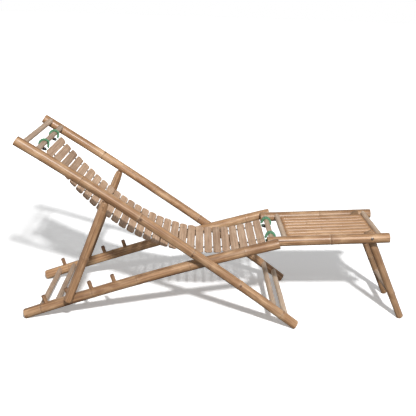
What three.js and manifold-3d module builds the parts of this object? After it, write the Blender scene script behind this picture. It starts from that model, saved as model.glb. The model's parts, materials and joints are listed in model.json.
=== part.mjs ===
// Bamboo folding recliner with a slatted sling mat, a notched back support and a folding footrest.
// Millimetres, +Z up. X runs from the head end to the foot end and Y runs across the chair.
// Two rails slope up to the front, two back poles slope down past them, and they cross at a pin.
// A prop frame hangs under the back poles and stands on the rails, held by a row of pegs.

import * as THREE from 'three';
import { mergeVertices } from 'three/addons/utils/BufferGeometryUtils.js';
import Module from 'manifold-3d';

const wasm = await Module();
wasm.setup();

// Driving dimensions: rails
const railRearX = 8;
const railLength = 1224;
const railRadius = 23.5;
const railTilt = 17.85;
const railBow = 14;
const railHalfSpread = 238;

// Driving dimensions: back poles
const backTopX = 15;
const backTopHeight = 849;
const backTopRadius = 23;
const backFootRadius = 21;
const backTilt = 33.7;
const backBow = 17;

// Driving dimensions: footrest
const footPoleLength = 563;
const footPoleRadius = 23;
const footPoleTilt = 3.5;
const footPoleOverhang = 24;
const caneRadius = 14.5;
const caneSideGap = 2.9;
const caneLift = 1;
const caneTenonRadius = 6;
const caneTenonLength = 7;
const caneNeckLength = 9;
const caneNeckRadius = 9;

// Driving dimensions: legs
const legPivotInset = 84;
const legPivotLift = 6;
const legTilt = 65.4;
const legRadius = 18.5;
const legEndRadius = 16.5;
const legHead = 18;
const legTongueLength = 150;
const legRungPlace = 324;
const legRungRadius = 14;

// Driving dimensions: prop frame
const propHingePlace = 465;
const propHingeDrop = 40;
const propRadius = 20;
const propHeadRadius = 17;
const propHeel = 30;
const propRungRadius = 11;
const forkDepth = 22;
const tongueWidth = 24;
const tongueThickness = 12;
const tongueSeat = 10;

// Driving dimensions: rungs and where they sit along their poles
const rungRadius = 13;
const matRungRadius = 12.5;
const tenonDepth = 26;
const topRungPlace = 34;
const topRungLift = 8;
const matRungPlace = 95;
const matRungLift = 8;
const lowerRungPlaces = [133, 65];
const lowerRungLift = 6;
const rearRungPlaces = [84, 162];
const rearRungLift = 7;
const frontRungInset = 27;
const frontRungLift = 4;
const footRungInset = 41;
const footRungLead = 84;
const footRungLift = 6;

// Driving dimensions: pegs and pins
const pegPitch = 112;
const pegRadius = 8.5;
const pegHeight = 36;
const pegSeat = 20;
const pinRadius = 4;
const pinHeadRadius = 7;
const pinHeadThickness = 3;
const pinHeadRimShare = 0.6;
const pinHeadTopShare = 0.7;

// Driving dimensions: mat and its cords
const matCurve = 655;
const matRoll = 3.2;
const slatCount = 28;
const slatsPerSection = 4;
const slatSideGap = 1.6;
const slatGap = 5;
const slatThickness = 8.5;
const slatCorner = 15;
const matLead = 30;
const matTail = 30;
const beadRadius = 3.6;
const beadSeat = 2.5;
const cordRadius = 4.2;
const loopStraight = 5;
const sleeveGap = 0.9;
const sleeveWall = 1;
const sleeveLength = 13;
const hingeGap = 0.95;

// Fits, finish of the culms and counts
const sideGap = 1.4;
const seatGap = 0.3;
const forkGap = 0.5;
const footFlat = 2;
const chamfer = 2.5;
const boreWall = 7;
const boreDepth = 10;
const ridgeHeight = 1.2;
const ridgeHalfLength = 5;
const rungRidgeHeight = 0.7;
const overrun = 30;
const caneCount = 7;
const pegCount = 4;
const poleSides = 12;
const rungSides = 10;
const turningSides = 20;
const pinSides = 8;
const bowSteps = 8;
const loopSteps = 26;
const cordSides = 6;
const beadSides = 6;
const slatCornerSteps = 2;
const loopTurnSteps = 8;

const degree = Math.PI / 180;
const backBowPower = 2.5;
const railBowPower = 2;

// Where the culm nodes sit, as shares of each pole's length
const railNodeShares = { near: [0.073, 0.278, 0.455, 0.66, 0.87], far: [0.11, 0.31, 0.5, 0.68, 0.9] };
const backNodeShares = { near: [0.223, 0.42, 0.615, 0.786, 0.944], far: [0.241, 0.448, 0.629, 0.75, 0.87] };
const footNodeShares = { near: [0.528], far: [0.543] };
const legNodeShares = { near: [0.72], far: [0.56] };
const propNodeShares = { near: [0.55], far: [0.33] };
const rungNodeShares = {
  rear_base_rung: [0.55],
  second_base_rung: [0.4],
  front_mat_rung: [0.52],
  top_rung: [0.38, 0.7],
  mat_rung: [0.55],
  upper_front_rung: [0.6],
  lower_front_rung: [0.42],
  prop_rung: [0.45],
  leg_rung: [0.5],
  inner_footrest_rung: [0.5],
  outer_footrest_rung: [0.5],
};
const caneNodeShares = [0.35, 0.62, 0.44, 0.7, 0.3, 0.55, 0.48];

// Where the beads and the cord loops sit and how far a loop steps sideways, as shares of a half slat
const beadSpreadShare = 0.622;
const loopSpreadShare = 0.677;
const loopStepShare = 0.266;

// Where the sleeved run of a cord loop gets its two extra points, as shares of the run
const sleevedShares = [0.28, 0.94];

// Materials
const poleBamboo = new THREE.MeshStandardMaterial({ color: 0xc2935c, roughness: 0.55, metalness: 0 });
const rungBamboo = new THREE.MeshStandardMaterial({ color: 0xbf9a78, roughness: 0.6, metalness: 0 });
const slatBamboo = new THREE.MeshStandardMaterial({ color: 0xc4a384, roughness: 0.62, metalness: 0 });
const pegWood = new THREE.MeshStandardMaterial({ color: 0x9a6a42, roughness: 0.65, metalness: 0 });
const pinSteel = new THREE.MeshStandardMaterial({ color: 0x6f6257, roughness: 0.45, metalness: 0.8 });
const greenCord = new THREE.MeshStandardMaterial({ color: 0x5c9e70, roughness: 0.75, metalness: 0 });
const blackSleeve = new THREE.MeshStandardMaterial({ color: 0x171717, roughness: 0.5, metalness: 0 });

// A straight or bowed centre line in the side view. Lift is measured square to it, upwards at rest.
class PoleLine {
  constructor(start, angle, length, bow = 0, bowPower = railBowPower) {
    Object.assign(this, { start, angle, length, bow, bowPower });
  }

  bowAt(s) {
    const share = Math.min(Math.max(s / this.length, 0), 1);
    return this.bow * (1 - Math.abs(2 * share - 1) ** this.bowPower);
  }

  at(s, lift = 0) {
    const rise = lift + this.bowAt(s);
    const x = this.start.x + s * Math.cos(this.angle) - rise * Math.sin(this.angle);
    const z = this.start.z + s * Math.sin(this.angle) + rise * Math.cos(this.angle);
    return new THREE.Vector3(x, 0, z);
  }

  // How far a point lies above the bowed line
  heightOf(point) {
    const dx = point.x - this.start.x;
    const dz = point.z - this.start.z;
    const s = dx * Math.cos(this.angle) + dz * Math.sin(this.angle);
    return dz * Math.cos(this.angle) - dx * Math.sin(this.angle) - this.bowAt(s);
  }

  place(piece, y) {
    piece.position.set(this.start.x, y, this.start.z);
    piece.rotation.y = -this.angle;
    return piece;
  }
}

// The place along the first line where the second one crosses it
function crossingPlace(line, other) {
  let low = 0;
  let high = line.length;
  const lowSign = Math.sign(other.heightOf(line.at(low)));
  for (let halving = 0; halving < 50; halving++) {
    const middle = (low + high) / 2;
    if (Math.sign(other.heightOf(line.at(middle))) === lowSign) low = middle;
    else high = middle;
  }
  return (low + high) / 2;
}

// A bamboo culm along +Y from zero: node ridges, broken edges and, with a bore depth, open ends
function culmGeometry(sizes) {
  const { length, radius, endRadius = radius, nodeShares = [], ridge = 0, bore = 0, sides } = sizes;
  const steps = sizes.steps ?? 1;
  const radiusAt = (s) => radius + (endRadius - radius) * (s / length);
  const nodes = nodeShares.map((share) => share * length);
  const rings = [chamfer, length - chamfer].map((s) => [s, radiusAt(s)]);
  for (const s of nodes) {
    rings.push([s - ridgeHalfLength, radiusAt(s)]);
    rings.push([s, radiusAt(s) + ridge]);
    rings.push([s + ridgeHalfLength, radiusAt(s)]);
  }
  for (let i = 1; i < steps; i++) {
    const s = (length * i) / steps;
    if (nodes.every((node) => Math.abs(node - s) > 3 * ridgeHalfLength)) rings.push([s, radiusAt(s)]);
  }
  rings.sort((a, b) => a[0] - b[0]);
  const firstFace = [[0, 0], [0, radius - chamfer]];
  const lastFace = [[length, endRadius - chamfer], [length, 0]];
  if (bore) {
    firstFace.splice(0, 1, [bore, 0], [bore, radius - boreWall], [0, radius - boreWall]);
    const farBore = length - bore;
    lastFace.splice(1, 1, [length, endRadius - boreWall], [farBore, endRadius - boreWall], [farBore, 0]);
  }
  const profile = [...firstFace, ...rings, ...lastFace].map(([s, r]) => new THREE.Vector2(r, s));
  return new THREE.LatheGeometry(profile, sides);
}

// A pole along its centre line, bent by the line's bow
function pole(name, line, y, sizes) {
  const geometry = culmGeometry({
    length: line.length, ridge: ridgeHeight, bore: boreDepth, sides: poleSides, ...sizes,
  });
  geometry.rotateZ(-Math.PI / 2);
  const place = geometry.attributes.position;
  for (let i = 0; i < place.count; i++) place.setZ(i, place.getZ(i) + line.bowAt(place.getX(i)));
  return line.place(named(name, geometry, poleBamboo), y);
}

// A rung across the chair, centred on the middle plane
function rung(name, point, halfLength, radius, material = rungBamboo) {
  const geometry = culmGeometry({
    length: 2 * halfLength, radius, nodeShares: rungNodeShares[name], ridge: rungRidgeHeight, sides: rungSides,
  });
  const piece = named(name, geometry, material);
  piece.position.set(point.x, -halfLength, point.z);
  return piece;
}

function named(name, geometry, material) {
  const piece = new THREE.Mesh(geometry, material);
  piece.name = name;
  return piece;
}

// Cutting tools: a round bar across the chair, and a box
function bar(point, fromY, toY, radius, sides) {
  const tool = new THREE.Mesh(new THREE.CylinderGeometry(radius, radius, Math.abs(toY - fromY), sides));
  tool.position.set(point.x, (fromY + toY) / 2, point.z);
  return tool;
}

function block(width, depth, height) {
  return new THREE.Mesh(new THREE.BoxGeometry(width, depth, height));
}

// Solids for joining and cutting
function solidOf(source, matrix) {
  const geometry = source.clone();
  geometry.deleteAttribute('normal');
  geometry.deleteAttribute('uv');
  if (matrix) geometry.applyMatrix4(matrix);
  const merged = mergeVertices(geometry);
  const corners = merged.index.array;
  const kept = [];
  for (let i = 0; i < corners.length; i += 3) {
    const [a, b, c] = corners.slice(i, i + 3);
    if (a !== b && b !== c && c !== a) kept.push(a, b, c);
  }
  const vertProperties = new Float32Array(merged.attributes.position.array);
  return new wasm.Manifold(new wasm.Mesh({ numProp: 3, vertProperties, triVerts: new Uint32Array(kept) }));
}

function geometryOf(solid) {
  const mesh = solid.getMesh();
  const geometry = new THREE.BufferGeometry();
  geometry.setAttribute('position', new THREE.BufferAttribute(new Float32Array(mesh.vertProperties), 3));
  geometry.setIndex(new THREE.BufferAttribute(new Uint32Array(mesh.triVerts), 1));
  geometry.computeVertexNormals();
  return geometry;
}

function toolIn(piece, tool) {
  piece.updateMatrix();
  tool.updateMatrix();
  return solidOf(tool.geometry, piece.matrix.clone().invert().multiply(tool.matrix));
}

function cut(piece, tools) {
  let solid = solidOf(piece.geometry);
  for (const tool of tools) solid = solid.subtract(toolIn(piece, tool));
  piece.geometry = geometryOf(solid);
  return piece;
}

// Everything below the floor, for the flats that the feet stand on
function belowFloor(point) {
  const tool = block(overrun * 4, overrun * 4, overrun);
  tool.position.set(point.x, point.y, -overrun / 2);
  return tool;
}

// Places across the chair
const backY = railHalfSpread + railRadius + backTopRadius + sideGap;
const propY = backY;
const footY = railHalfSpread - railRadius - footPoleRadius - sideGap;
const legY = footY - footPoleRadius - legRadius - sideGap;
const legFaceY = legY + sideGap;
const slatHalfLength = footY - footPoleRadius - slatSideGap;
const sidesOfChair = [['near', -1], ['far', 1]];

// A hole's radius that lets a shaft turn in it, past the hole's flats
function turningHole(radius, sides) {
  return (radius + seatGap) / Math.cos(Math.PI / sides);
}

const pinHoleRadius = turningHole(pinRadius, pinSides);

// A hole for a rung's tenon, bored from a pole's inner face
function tenonHole(point, side, poleY, poleRadius, radius) {
  const inner = poleY - poleRadius - overrun;
  const bottom = poleY - poleRadius + tenonDepth;
  return bar(point, side * inner, side * bottom, radius + seatGap, rungSides);
}

// A rung's half length, so that its tenon stops just short of the hole's bottom
function rungHalf(poleY, poleRadius) {
  return poleY - poleRadius + tenonDepth - seatGap;
}

// Centre lines
const railAngle = railTilt * degree;
const railStart = { x: railRearX, z: railRadius * Math.cos(railAngle) - footFlat };
const rail = new PoleLine(railStart, railAngle, railLength, railBow, railBowPower);

const backAngle = -backTilt * degree;
const backFootHeight = backFootRadius * Math.cos(backAngle) - footFlat;
const backLength = (backTopHeight - backFootHeight) / Math.sin(-backAngle);
const back = new PoleLine({ x: backTopX, z: backTopHeight }, backAngle, backLength, backBow, backBowPower);

const crossing = rail.at(crossingPlace(rail, back));
const frontRung = rail.at(railLength - frontRungInset, frontRungLift);

const footAngle = footPoleTilt * degree;
const footStart = {
  x: frontRung.x - footPoleOverhang * Math.cos(footAngle) + frontRungLift * Math.sin(footAngle),
  z: frontRung.z - footPoleOverhang * Math.sin(footAngle) - frontRungLift * Math.cos(footAngle),
};
const foot = new PoleLine(footStart, footAngle, footPoleLength);
const footRungPlaces = [footRungLead, footPoleLength - footRungInset];

const legPivot = foot.at(footPoleLength - legPivotInset, legPivotLift);
const legAngle = -legTilt * degree;
const legReach = (legPivot.z - legEndRadius * Math.cos(legAngle) + footFlat) / Math.sin(-legAngle);
const legStart = {
  x: legPivot.x - legHead * Math.cos(legAngle),
  z: legPivot.z - legHead * Math.sin(legAngle),
};
const leg = new PoleLine(legStart, legAngle, legHead + legReach);
const legRungPoint = leg.at(legHead + legRungPlace);

const pegPlaces = Array.from({ length: pegCount }, (_, i) => pegPitch * (i + 1));
const propHinge = back.at(propHingePlace, -propHingeDrop);
const propRestPlace = pegPlaces[1] + pegRadius + propRungRadius + seatGap;
const propRungPoint = rail.at(propRestPlace, railRadius + propRungRadius + seatGap);
const propAngle = Math.atan2(propRungPoint.z - propHinge.z, propRungPoint.x - propHinge.x);
const propSpan = Math.hypot(propRungPoint.z - propHinge.z, propRungPoint.x - propHinge.x);
const propStart = {
  x: propHinge.x - propHeadRadius * Math.cos(propAngle),
  z: propHinge.z - propHeadRadius * Math.sin(propAngle),
};
const prop = new PoleLine(propStart, propAngle, propHeadRadius + propSpan + propHeel);

// Base frame: rails, rungs, pegs and crossing pins
function makeRail(label, side) {
  const y = side * railHalfSpread;
  const piece = pole(`${label}_rail`, rail, y, {
    radius: railRadius, nodeShares: railNodeShares[label], steps: bowSteps,
  });
  const tools = [belowFloor(new THREE.Vector3(railRearX, y, 0))];
  for (const s of rearRungPlaces) {
    tools.push(tenonHole(rail.at(s, rearRungLift), side, railHalfSpread, railRadius, rungRadius));
  }
  tools.push(tenonHole(frontRung, side, railHalfSpread, railRadius, matRungRadius));
  tools.push(bar(crossing, y - overrun, y + overrun, pinHoleRadius, pinSides));
  for (const s of pegPlaces) tools.push(pegTool(s, y));
  return cut(piece, tools);
}

// A peg stands square to the rail, with its lower end in a blind hole
function pegSolid(s, y, length, radius, from) {
  const piece = new THREE.Mesh(culmGeometry({ length, radius, sides: rungSides }));
  piece.geometry.rotateX(Math.PI / 2);
  const foundation = rail.at(s, from);
  piece.position.set(foundation.x, y, foundation.z);
  piece.rotation.y = -railAngle;
  return piece;
}

function pegTool(s, y) {
  return pegSolid(s, y, pegSeat + overrun, pegRadius + seatGap, railRadius - pegSeat - seatGap);
}

function makePeg(label, side, i) {
  const length = pegSeat + pegHeight;
  const piece = pegSolid(pegPlaces[i], side * railHalfSpread, length, pegRadius, railRadius - pegSeat);
  piece.name = `${label}_peg_${i + 1}`;
  piece.material = pegWood;
  return piece;
}

// A headed pin across a joint, its head on the outer face
function makePin(name, point, side, outerY, innerY, radius) {
  const shank = outerY - innerY + seatGap;
  const profile = [
    [0, 0], [radius, 0], [radius, shank], [pinHeadRadius, shank],
    [pinHeadRadius, shank + pinHeadThickness * pinHeadRimShare],
    [pinHeadRadius * pinHeadTopShare, shank + pinHeadThickness],
    [0, shank + pinHeadThickness],
  ].map(([r, s]) => new THREE.Vector2(r, s));
  const piece = named(name, new THREE.LatheGeometry(profile, pinSides), pinSteel);
  if (side < 0) piece.rotation.x = Math.PI;
  piece.position.set(point.x, side * innerY, point.z);
  return piece;
}

// Back frame: back poles, their rungs and the tongues that carry the prop frame
function makeBackPole(label, side) {
  const y = side * backY;
  const piece = pole(`${label}_back_pole`, back, y, {
    radius: backTopRadius, endRadius: backFootRadius, nodeShares: backNodeShares[label], steps: bowSteps,
  });
  const tools = [belowFloor(new THREE.Vector3(back.at(backLength).x, y, 0))];
  tools.push(tenonHole(back.at(topRungPlace, topRungLift), side, backY, backTopRadius, rungRadius));
  tools.push(tenonHole(back.at(matRungPlace, matRungLift), side, backY, backTopRadius, matRungRadius));
  for (const s of lowerRungPlaces) {
    const point = back.at(backLength - s, lowerRungLift);
    tools.push(tenonHole(point, side, backY, backTopRadius, rungRadius));
  }
  tools.push(bar(crossing, y - overrun, y + overrun, pinHoleRadius, pinSides));
  tools.push(mortise(y));
  return cut(piece, tools);
}

// The tongue hangs square to the back pole: its root sits in a mortise and its round end on the pin
const tongueRoot = tongueSeat - backTopRadius;

function mortise(y) {
  const tool = block(tongueWidth + 2 * seatGap, tongueThickness + 2 * seatGap, overrun + tongueSeat);
  const middle = back.at(propHingePlace, tongueRoot + seatGap - (overrun + tongueSeat) / 2);
  tool.position.set(middle.x, y, middle.z);
  tool.rotation.y = -backAngle;
  return tool;
}

function makeTongue(label, side) {
  const half = tongueWidth / 2;
  const root = propHingeDrop + tongueRoot;
  const outline = new THREE.Shape();
  outline.moveTo(half, 0);
  outline.lineTo(half, root);
  outline.lineTo(-half, root);
  outline.lineTo(-half, 0);
  outline.absarc(0, 0, half, Math.PI, 2 * Math.PI, false);
  const geometry = new THREE.ExtrudeGeometry(outline, {
    depth: tongueThickness, bevelEnabled: false, curveSegments: rungSides,
  });
  geometry.translate(0, 0, -tongueThickness / 2);
  geometry.rotateX(Math.PI / 2);
  const piece = named(`${label}_prop_tongue`, geometry, pegWood);
  piece.position.set(propHinge.x, side * propY, propHinge.z);
  piece.rotation.y = -backAngle;
  const [fromY, toY] = [-overrun, overrun].map((reach) => side * propY + reach);
  return cut(piece, [bar(propHinge, fromY, toY, pinHoleRadius, pinSides)]);
}

// Prop frame: two forked props joined by the rung that rests on the rails
function makeProp(label, side) {
  const y = side * propY;
  const piece = pole(`${label}_prop`, prop, y, {
    radius: propRadius, nodeShares: propNodeShares[label], bore: 0,
  });
  const slot = block(2 * (propHeadRadius + forkDepth), tongueThickness + 2 * forkGap, 2 * overrun);
  prop.place(slot, y);
  const tools = [slot, headTrimmer(y)];
  tools.push(bar(propHinge, y - overrun, y + overrun, pinHoleRadius, pinSides));
  tools.push(tenonHole(propRungPoint, side, propY, propRadius, propRungRadius));
  return cut(piece, tools);
}

// What is whittled off a prop above its pin, so that the head is round in the side view
function headTrimmer(y) {
  const trimmer = block(2 * overrun, 2 * overrun, 2 * overrun);
  const middle = prop.at(propHeadRadius - overrun);
  trimmer.position.set(middle.x, y, middle.z);
  trimmer.rotation.y = -propAngle;
  return cut(trimmer, [bar(propHinge, y - 2 * overrun, y + 2 * overrun, propHeadRadius, 2 * poleSides)]);
}

// Footrest: two poles, two rungs and the canes let into them
function makeFootPole(label, side) {
  const y = side * footY;
  const piece = pole(`${label}_footrest_pole`, foot, y, {
    radius: footPoleRadius, nodeShares: footNodeShares[label],
  });
  const through = [y - overrun, y + overrun];
  const tools = [bar(frontRung, ...through, turningHole(matRungRadius, turningSides), turningSides)];
  tools.push(bar(legPivot, ...through, pinHoleRadius, pinSides));
  for (const s of footRungPlaces) {
    tools.push(tenonHole(foot.at(s, footRungLift), side, footY, footPoleRadius, rungRadius));
  }
  return cut(piece, tools);
}

const outerCaneY = legFaceY - caneSideGap - rungRidgeHeight - caneRadius;
const canePitch = (2 * outerCaneY) / (caneCount - 1);
const caneOffsets = Array.from({ length: caneCount }, (_, i) => canePitch * i - outerCaneY);
const caneSpan = footRungPlaces[1] - footRungPlaces[0] - 2 * rungRadius;

// A tool the size of a cane's tenon, at the face of a footrest rung
function caneHole(s, y) {
  const tool = new THREE.Mesh(new THREE.CylinderGeometry(
    caneTenonRadius + seatGap, caneTenonRadius + seatGap, 2 * (caneTenonLength + seatGap), rungSides,
  ));
  tool.geometry.rotateZ(-Math.PI / 2);
  const point = foot.at(s, caneLift);
  tool.position.set(point.x, y, point.z);
  tool.rotation.y = -footAngle;
  return tool;
}

function makeFootRung(name, i) {
  const face = footRungPlaces[i] + (i === 0 ? rungRadius : -rungRadius);
  const half = rungHalf(footY, footPoleRadius);
  const piece = rung(name, foot.at(footRungPlaces[i], footRungLift), half, rungRadius);
  return cut(piece, caneOffsets.map((y) => caneHole(face, y)));
}

function makeCane(i) {
  const ends = caneTenonLength + seatGap;
  const neck = ends + caneNeckLength;
  const length = caneSpan + 2 * caneTenonLength;
  const node = neck + (length - 2 * neck) * caneNodeShares[i % caneNodeShares.length];
  const profile = [
    [0, 0], [0, caneTenonRadius], [ends, caneTenonRadius], [ends, caneNeckRadius], [neck, caneRadius],
    [node - ridgeHalfLength, caneRadius], [node, caneRadius + rungRidgeHeight],
    [node + ridgeHalfLength, caneRadius],
    [length - neck, caneRadius], [length - ends, caneNeckRadius], [length - ends, caneTenonRadius],
    [length, caneTenonRadius], [length, 0],
  ].map(([s, r]) => new THREE.Vector2(r, s));
  const geometry = new THREE.LatheGeometry(profile, rungSides);
  geometry.rotateZ(-Math.PI / 2);
  const piece = named(`footrest_cane_${i + 1}`, geometry, poleBamboo);
  const start = foot.at(footRungPlaces[0] + rungRadius - caneTenonLength, caneLift);
  piece.position.set(start.x, caneOffsets[i], start.z);
  piece.rotation.y = -footAngle;
  return piece;
}

// Legs: each head is whittled flat on the inside, so that it swings past the outer canes
function makeLeg(label, side) {
  const y = side * legY;
  const piece = pole(`${label}_leg`, leg, y, {
    radius: legRadius, endRadius: legEndRadius, nodeShares: legNodeShares[label],
  });
  const flat = block(2 * (legHead + legTongueLength), 2 * overrun, 4 * overrun);
  leg.place(flat, side * (legFaceY - overrun));
  const tools = [belowFloor(new THREE.Vector3(leg.at(leg.length).x, y, 0)), flat];
  tools.push(bar(legPivot, y - overrun, y + overrun, pinHoleRadius, pinSides));
  tools.push(tenonHole(legRungPoint, side, legY, legRadius, legRungRadius));
  return cut(piece, tools);
}

// The mat hangs in a catenary from the mat rung to the front rung
const matTop = back.at(matRungPlace, matRungLift);
const matSpan = frontRung.x - matTop.x;
const matDrop = frontRung.z - matTop.z;
const matChordTerm = 2 * matCurve * Math.sinh(matSpan / (2 * matCurve));
const matLowX = (matTop.x + frontRung.x) / 2 - matCurve * Math.asinh(matDrop / matChordTerm);
const matLength = Math.hypot(matDrop, matChordTerm);
const matStartArc = matCurve * Math.sinh((matTop.x - matLowX) / matCurve);
const matLowZ = matTop.z - matCurve * Math.cosh((matTop.x - matLowX) / matCurve);
const slatPitch = (matLength - matLead - matTail) / slatCount;
const slatWidth = slatPitch - slatGap;

// A place on the mat's curve, with the slope of the curve there
function onMat(arc, lift = 0) {
  const along = matStartArc + arc;
  const x = matLowX + matCurve * Math.asinh(along / matCurve);
  const angle = Math.atan(along / matCurve);
  const z = matLowZ + matCurve * Math.cosh((x - matLowX) / matCurve);
  return { x: x - lift * Math.sin(angle), z: z + lift * Math.cos(angle), angle };
}

// The mat rolls a little about its own line, most in the middle, so its far edge hangs higher
function placeOnMat(piece, arc, y) {
  const spot = onMat(arc);
  const roll = matRoll * degree * Math.sin((Math.PI * arc) / matLength);
  piece.rotation.set(roll, -spot.angle, 0, 'YXZ');
  piece.position.set(0, y, 0).applyEuler(piece.rotation);
  piece.position.x += spot.x;
  piece.position.z += spot.z;
  return piece;
}

function slatGeometry() {
  const half = slatWidth / 2;
  const inner = slatHalfLength - slatCorner;
  const outline = new THREE.Shape();
  outline.moveTo(half, -inner);
  outline.lineTo(half, inner);
  outline.quadraticCurveTo(half, slatHalfLength, 0, slatHalfLength);
  outline.quadraticCurveTo(-half, slatHalfLength, -half, inner);
  outline.lineTo(-half, -inner);
  outline.quadraticCurveTo(-half, -slatHalfLength, 0, -slatHalfLength);
  outline.quadraticCurveTo(half, -slatHalfLength, half, -inner);
  const geometry = new THREE.ExtrudeGeometry(outline, {
    depth: slatThickness, bevelEnabled: false, curveSegments: slatCornerSteps,
  });
  return geometry.translate(0, 0, -slatThickness / 2);
}

function beadGeometry(length) {
  const geometry = new THREE.CylinderGeometry(beadRadius, beadRadius, length, beadSides);
  return geometry.rotateZ(-Math.PI / 2);
}

// One section: four slats strung on two rows of beads; its last beads stop short of the next section
function makeMatSection(section) {
  const first = section * slatsPerSection;
  const last = Math.min(first + slatsPerSection, slatCount) - 1;
  const parts = [];
  for (let k = first; k <= last; k++) {
    const centre = matLead + slatPitch * (k + 0.5);
    parts.push(placeOnMat(new THREE.Mesh(slatGeometry()), centre, 0));
    if (k === slatCount - 1) continue;
    const from = centre + slatWidth / 2 - beadSeat;
    const next = centre + slatPitch - slatWidth / 2;
    const to = k === last ? next - hingeGap : next + beadSeat;
    for (const side of [-1, 1]) {
      parts.push(placeOnMat(new THREE.Mesh(beadGeometry(to - from)), (from + to) / 2, side * beadHalfSpread));
    }
  }
  const home = parts[0];
  let solid = solidOf(home.geometry);
  for (const part of parts.slice(1)) solid = solid.add(toolIn(home, part));
  home.geometry = geometryOf(solid);
  home.name = `mat_section_${section + 1}`;
  home.material = slatBamboo;
  return home;
}

const beadHalfSpread = slatHalfLength * beadSpreadShare;
const loopSpread = slatHalfLength * loopSpreadShare;
const loopStep = slatHalfLength * loopStepShare;

// A cord loop runs from the mat's edge over a rung, round behind it and back below, a step to one side
function loopPoints(centre, towards, up, edge, startY) {
  const ring = matRungRadius + cordRadius + 2 * seatGap;
  const reach = edge - loopStraight;
  const tangentAngle = Math.acos(ring / reach);
  const spot = (along, rise, y) => new THREE.Vector3(
    centre.x + towards.x * along + up.x * rise, y, centre.z + towards.z * along + up.z * rise,
  );
  const points = [spot(edge, 0, startY), spot(reach, 0, startY)];
  for (let i = 0; i <= loopTurnSteps; i++) {
    const share = i / loopTurnSteps;
    const angle = tangentAngle + 2 * (Math.PI - tangentAngle) * share;
    points.push(spot(ring * Math.cos(angle), ring * Math.sin(angle), startY - loopStep * share));
  }
  // The sleeved run is kept straight by two points of its own
  const runStart = points.at(-1);
  const runEnd = spot(reach, 0, startY - loopStep);
  points.push(...sleevedShares.map((share) => runStart.clone().lerp(runEnd, share)));
  points.push(runEnd, spot(edge, 0, startY - loopStep));
  return points;
}

function roundSection(radius, sides) {
  const section = new THREE.Shape();
  for (let i = 0; i < sides; i++) {
    const angle = (2 * Math.PI * i) / sides;
    if (i === 0) section.moveTo(radius, 0);
    else section.lineTo(radius * Math.cos(angle), radius * Math.sin(angle));
  }
  return section.closePath();
}

function makeLoop(name, points) {
  const path = new THREE.CatmullRomCurve3(points, false, 'centripetal');
  const geometry = new THREE.ExtrudeGeometry(roundSection(cordRadius, cordSides), {
    steps: loopSteps, extrudePath: path, bevelEnabled: false,
  });
  return named(name, geometry, greenCord);
}

// The black sleeve is threaded on the lower run of a loop
function makeSleeve(name, points) {
  const [from, to] = points.slice(-4, -2);
  const bore = cordRadius + sleeveGap;
  const sleeveRadius = bore + sleeveWall;
  const half = sleeveLength / 2;
  const profile = [[bore, -half], [sleeveRadius, -half], [sleeveRadius, half], [bore, half], [bore, -half]];
  const geometry = new THREE.LatheGeometry(profile.map(([r, s]) => new THREE.Vector2(r, s)), rungSides);
  const piece = named(name, geometry, blackSleeve);
  piece.position.addVectors(from, to).multiplyScalar(0.5);
  piece.quaternion.setFromUnitVectors(new THREE.Vector3(0, 1, 0), to.clone().sub(from).normalize());
  return piece;
}

const slatLeadEdge = matLead + (slatPitch - slatWidth) / 2 - hingeGap;
const slatTailEdge = matTail + (slatPitch - slatWidth) / 2 - hingeGap;

function makeCordEnd(label, end, startY) {
  const top = end === 'top';
  const arc = top ? slatLeadEdge : matLength - slatTailEdge;
  const spot = onMat(arc);
  const centre = top ? matTop : frontRung;
  const edge = Math.hypot(spot.x - centre.x, spot.z - centre.z);
  const towards = { x: (spot.x - centre.x) / edge, z: (spot.z - centre.z) / edge };
  const up = top ? { x: -towards.z, z: towards.x } : { x: towards.z, z: -towards.x };
  const points = loopPoints(centre, towards, up, edge, startY);
  return [
    makeLoop(`${label}_${end}_cord_loop`, points),
    makeSleeve(`${label}_${end}_cord_sleeve`, points),
  ];
}

// Assembly, one group for each frame that moves by itself
const recliner = new THREE.Group();
const baseFrame = new THREE.Group();
const backFrame = new THREE.Group();
const propFrame = new THREE.Group();
const footrest = new THREE.Group();
const legFrame = new THREE.Group();
const mat = new THREE.Group();
recliner.add(baseFrame, backFrame, propFrame, footrest, legFrame, mat);

for (const [label, side] of sidesOfChair) {
  baseFrame.add(makeRail(label, side));
  for (let i = 0; i < pegCount; i++) baseFrame.add(makePeg(label, side, i));
  const railInner = railHalfSpread - railRadius;
  baseFrame.add(makePin(`${label}_crossing_pin`, crossing, side, backY + backTopRadius, railInner, pinRadius));
  backFrame.add(makeBackPole(label, side), makeTongue(label, side));
  propFrame.add(makeProp(label, side));
  const propOuter = propY + propRadius;
  propFrame.add(makePin(`${label}_prop_pin`, propHinge, side, propOuter, propY - propHeadRadius, pinRadius));
  footrest.add(makeFootPole(label, side));
  const legPinEnd = legFaceY + seatGap;
  footrest.add(makePin(`${label}_leg_pin`, legPivot, side, footY + footPoleRadius, legPinEnd, pinRadius));
  legFrame.add(makeLeg(label, side));
  mat.add(...makeCordEnd(label, 'top', side * loopSpread), ...makeCordEnd(label, 'front', side * loopSpread));
}

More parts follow.
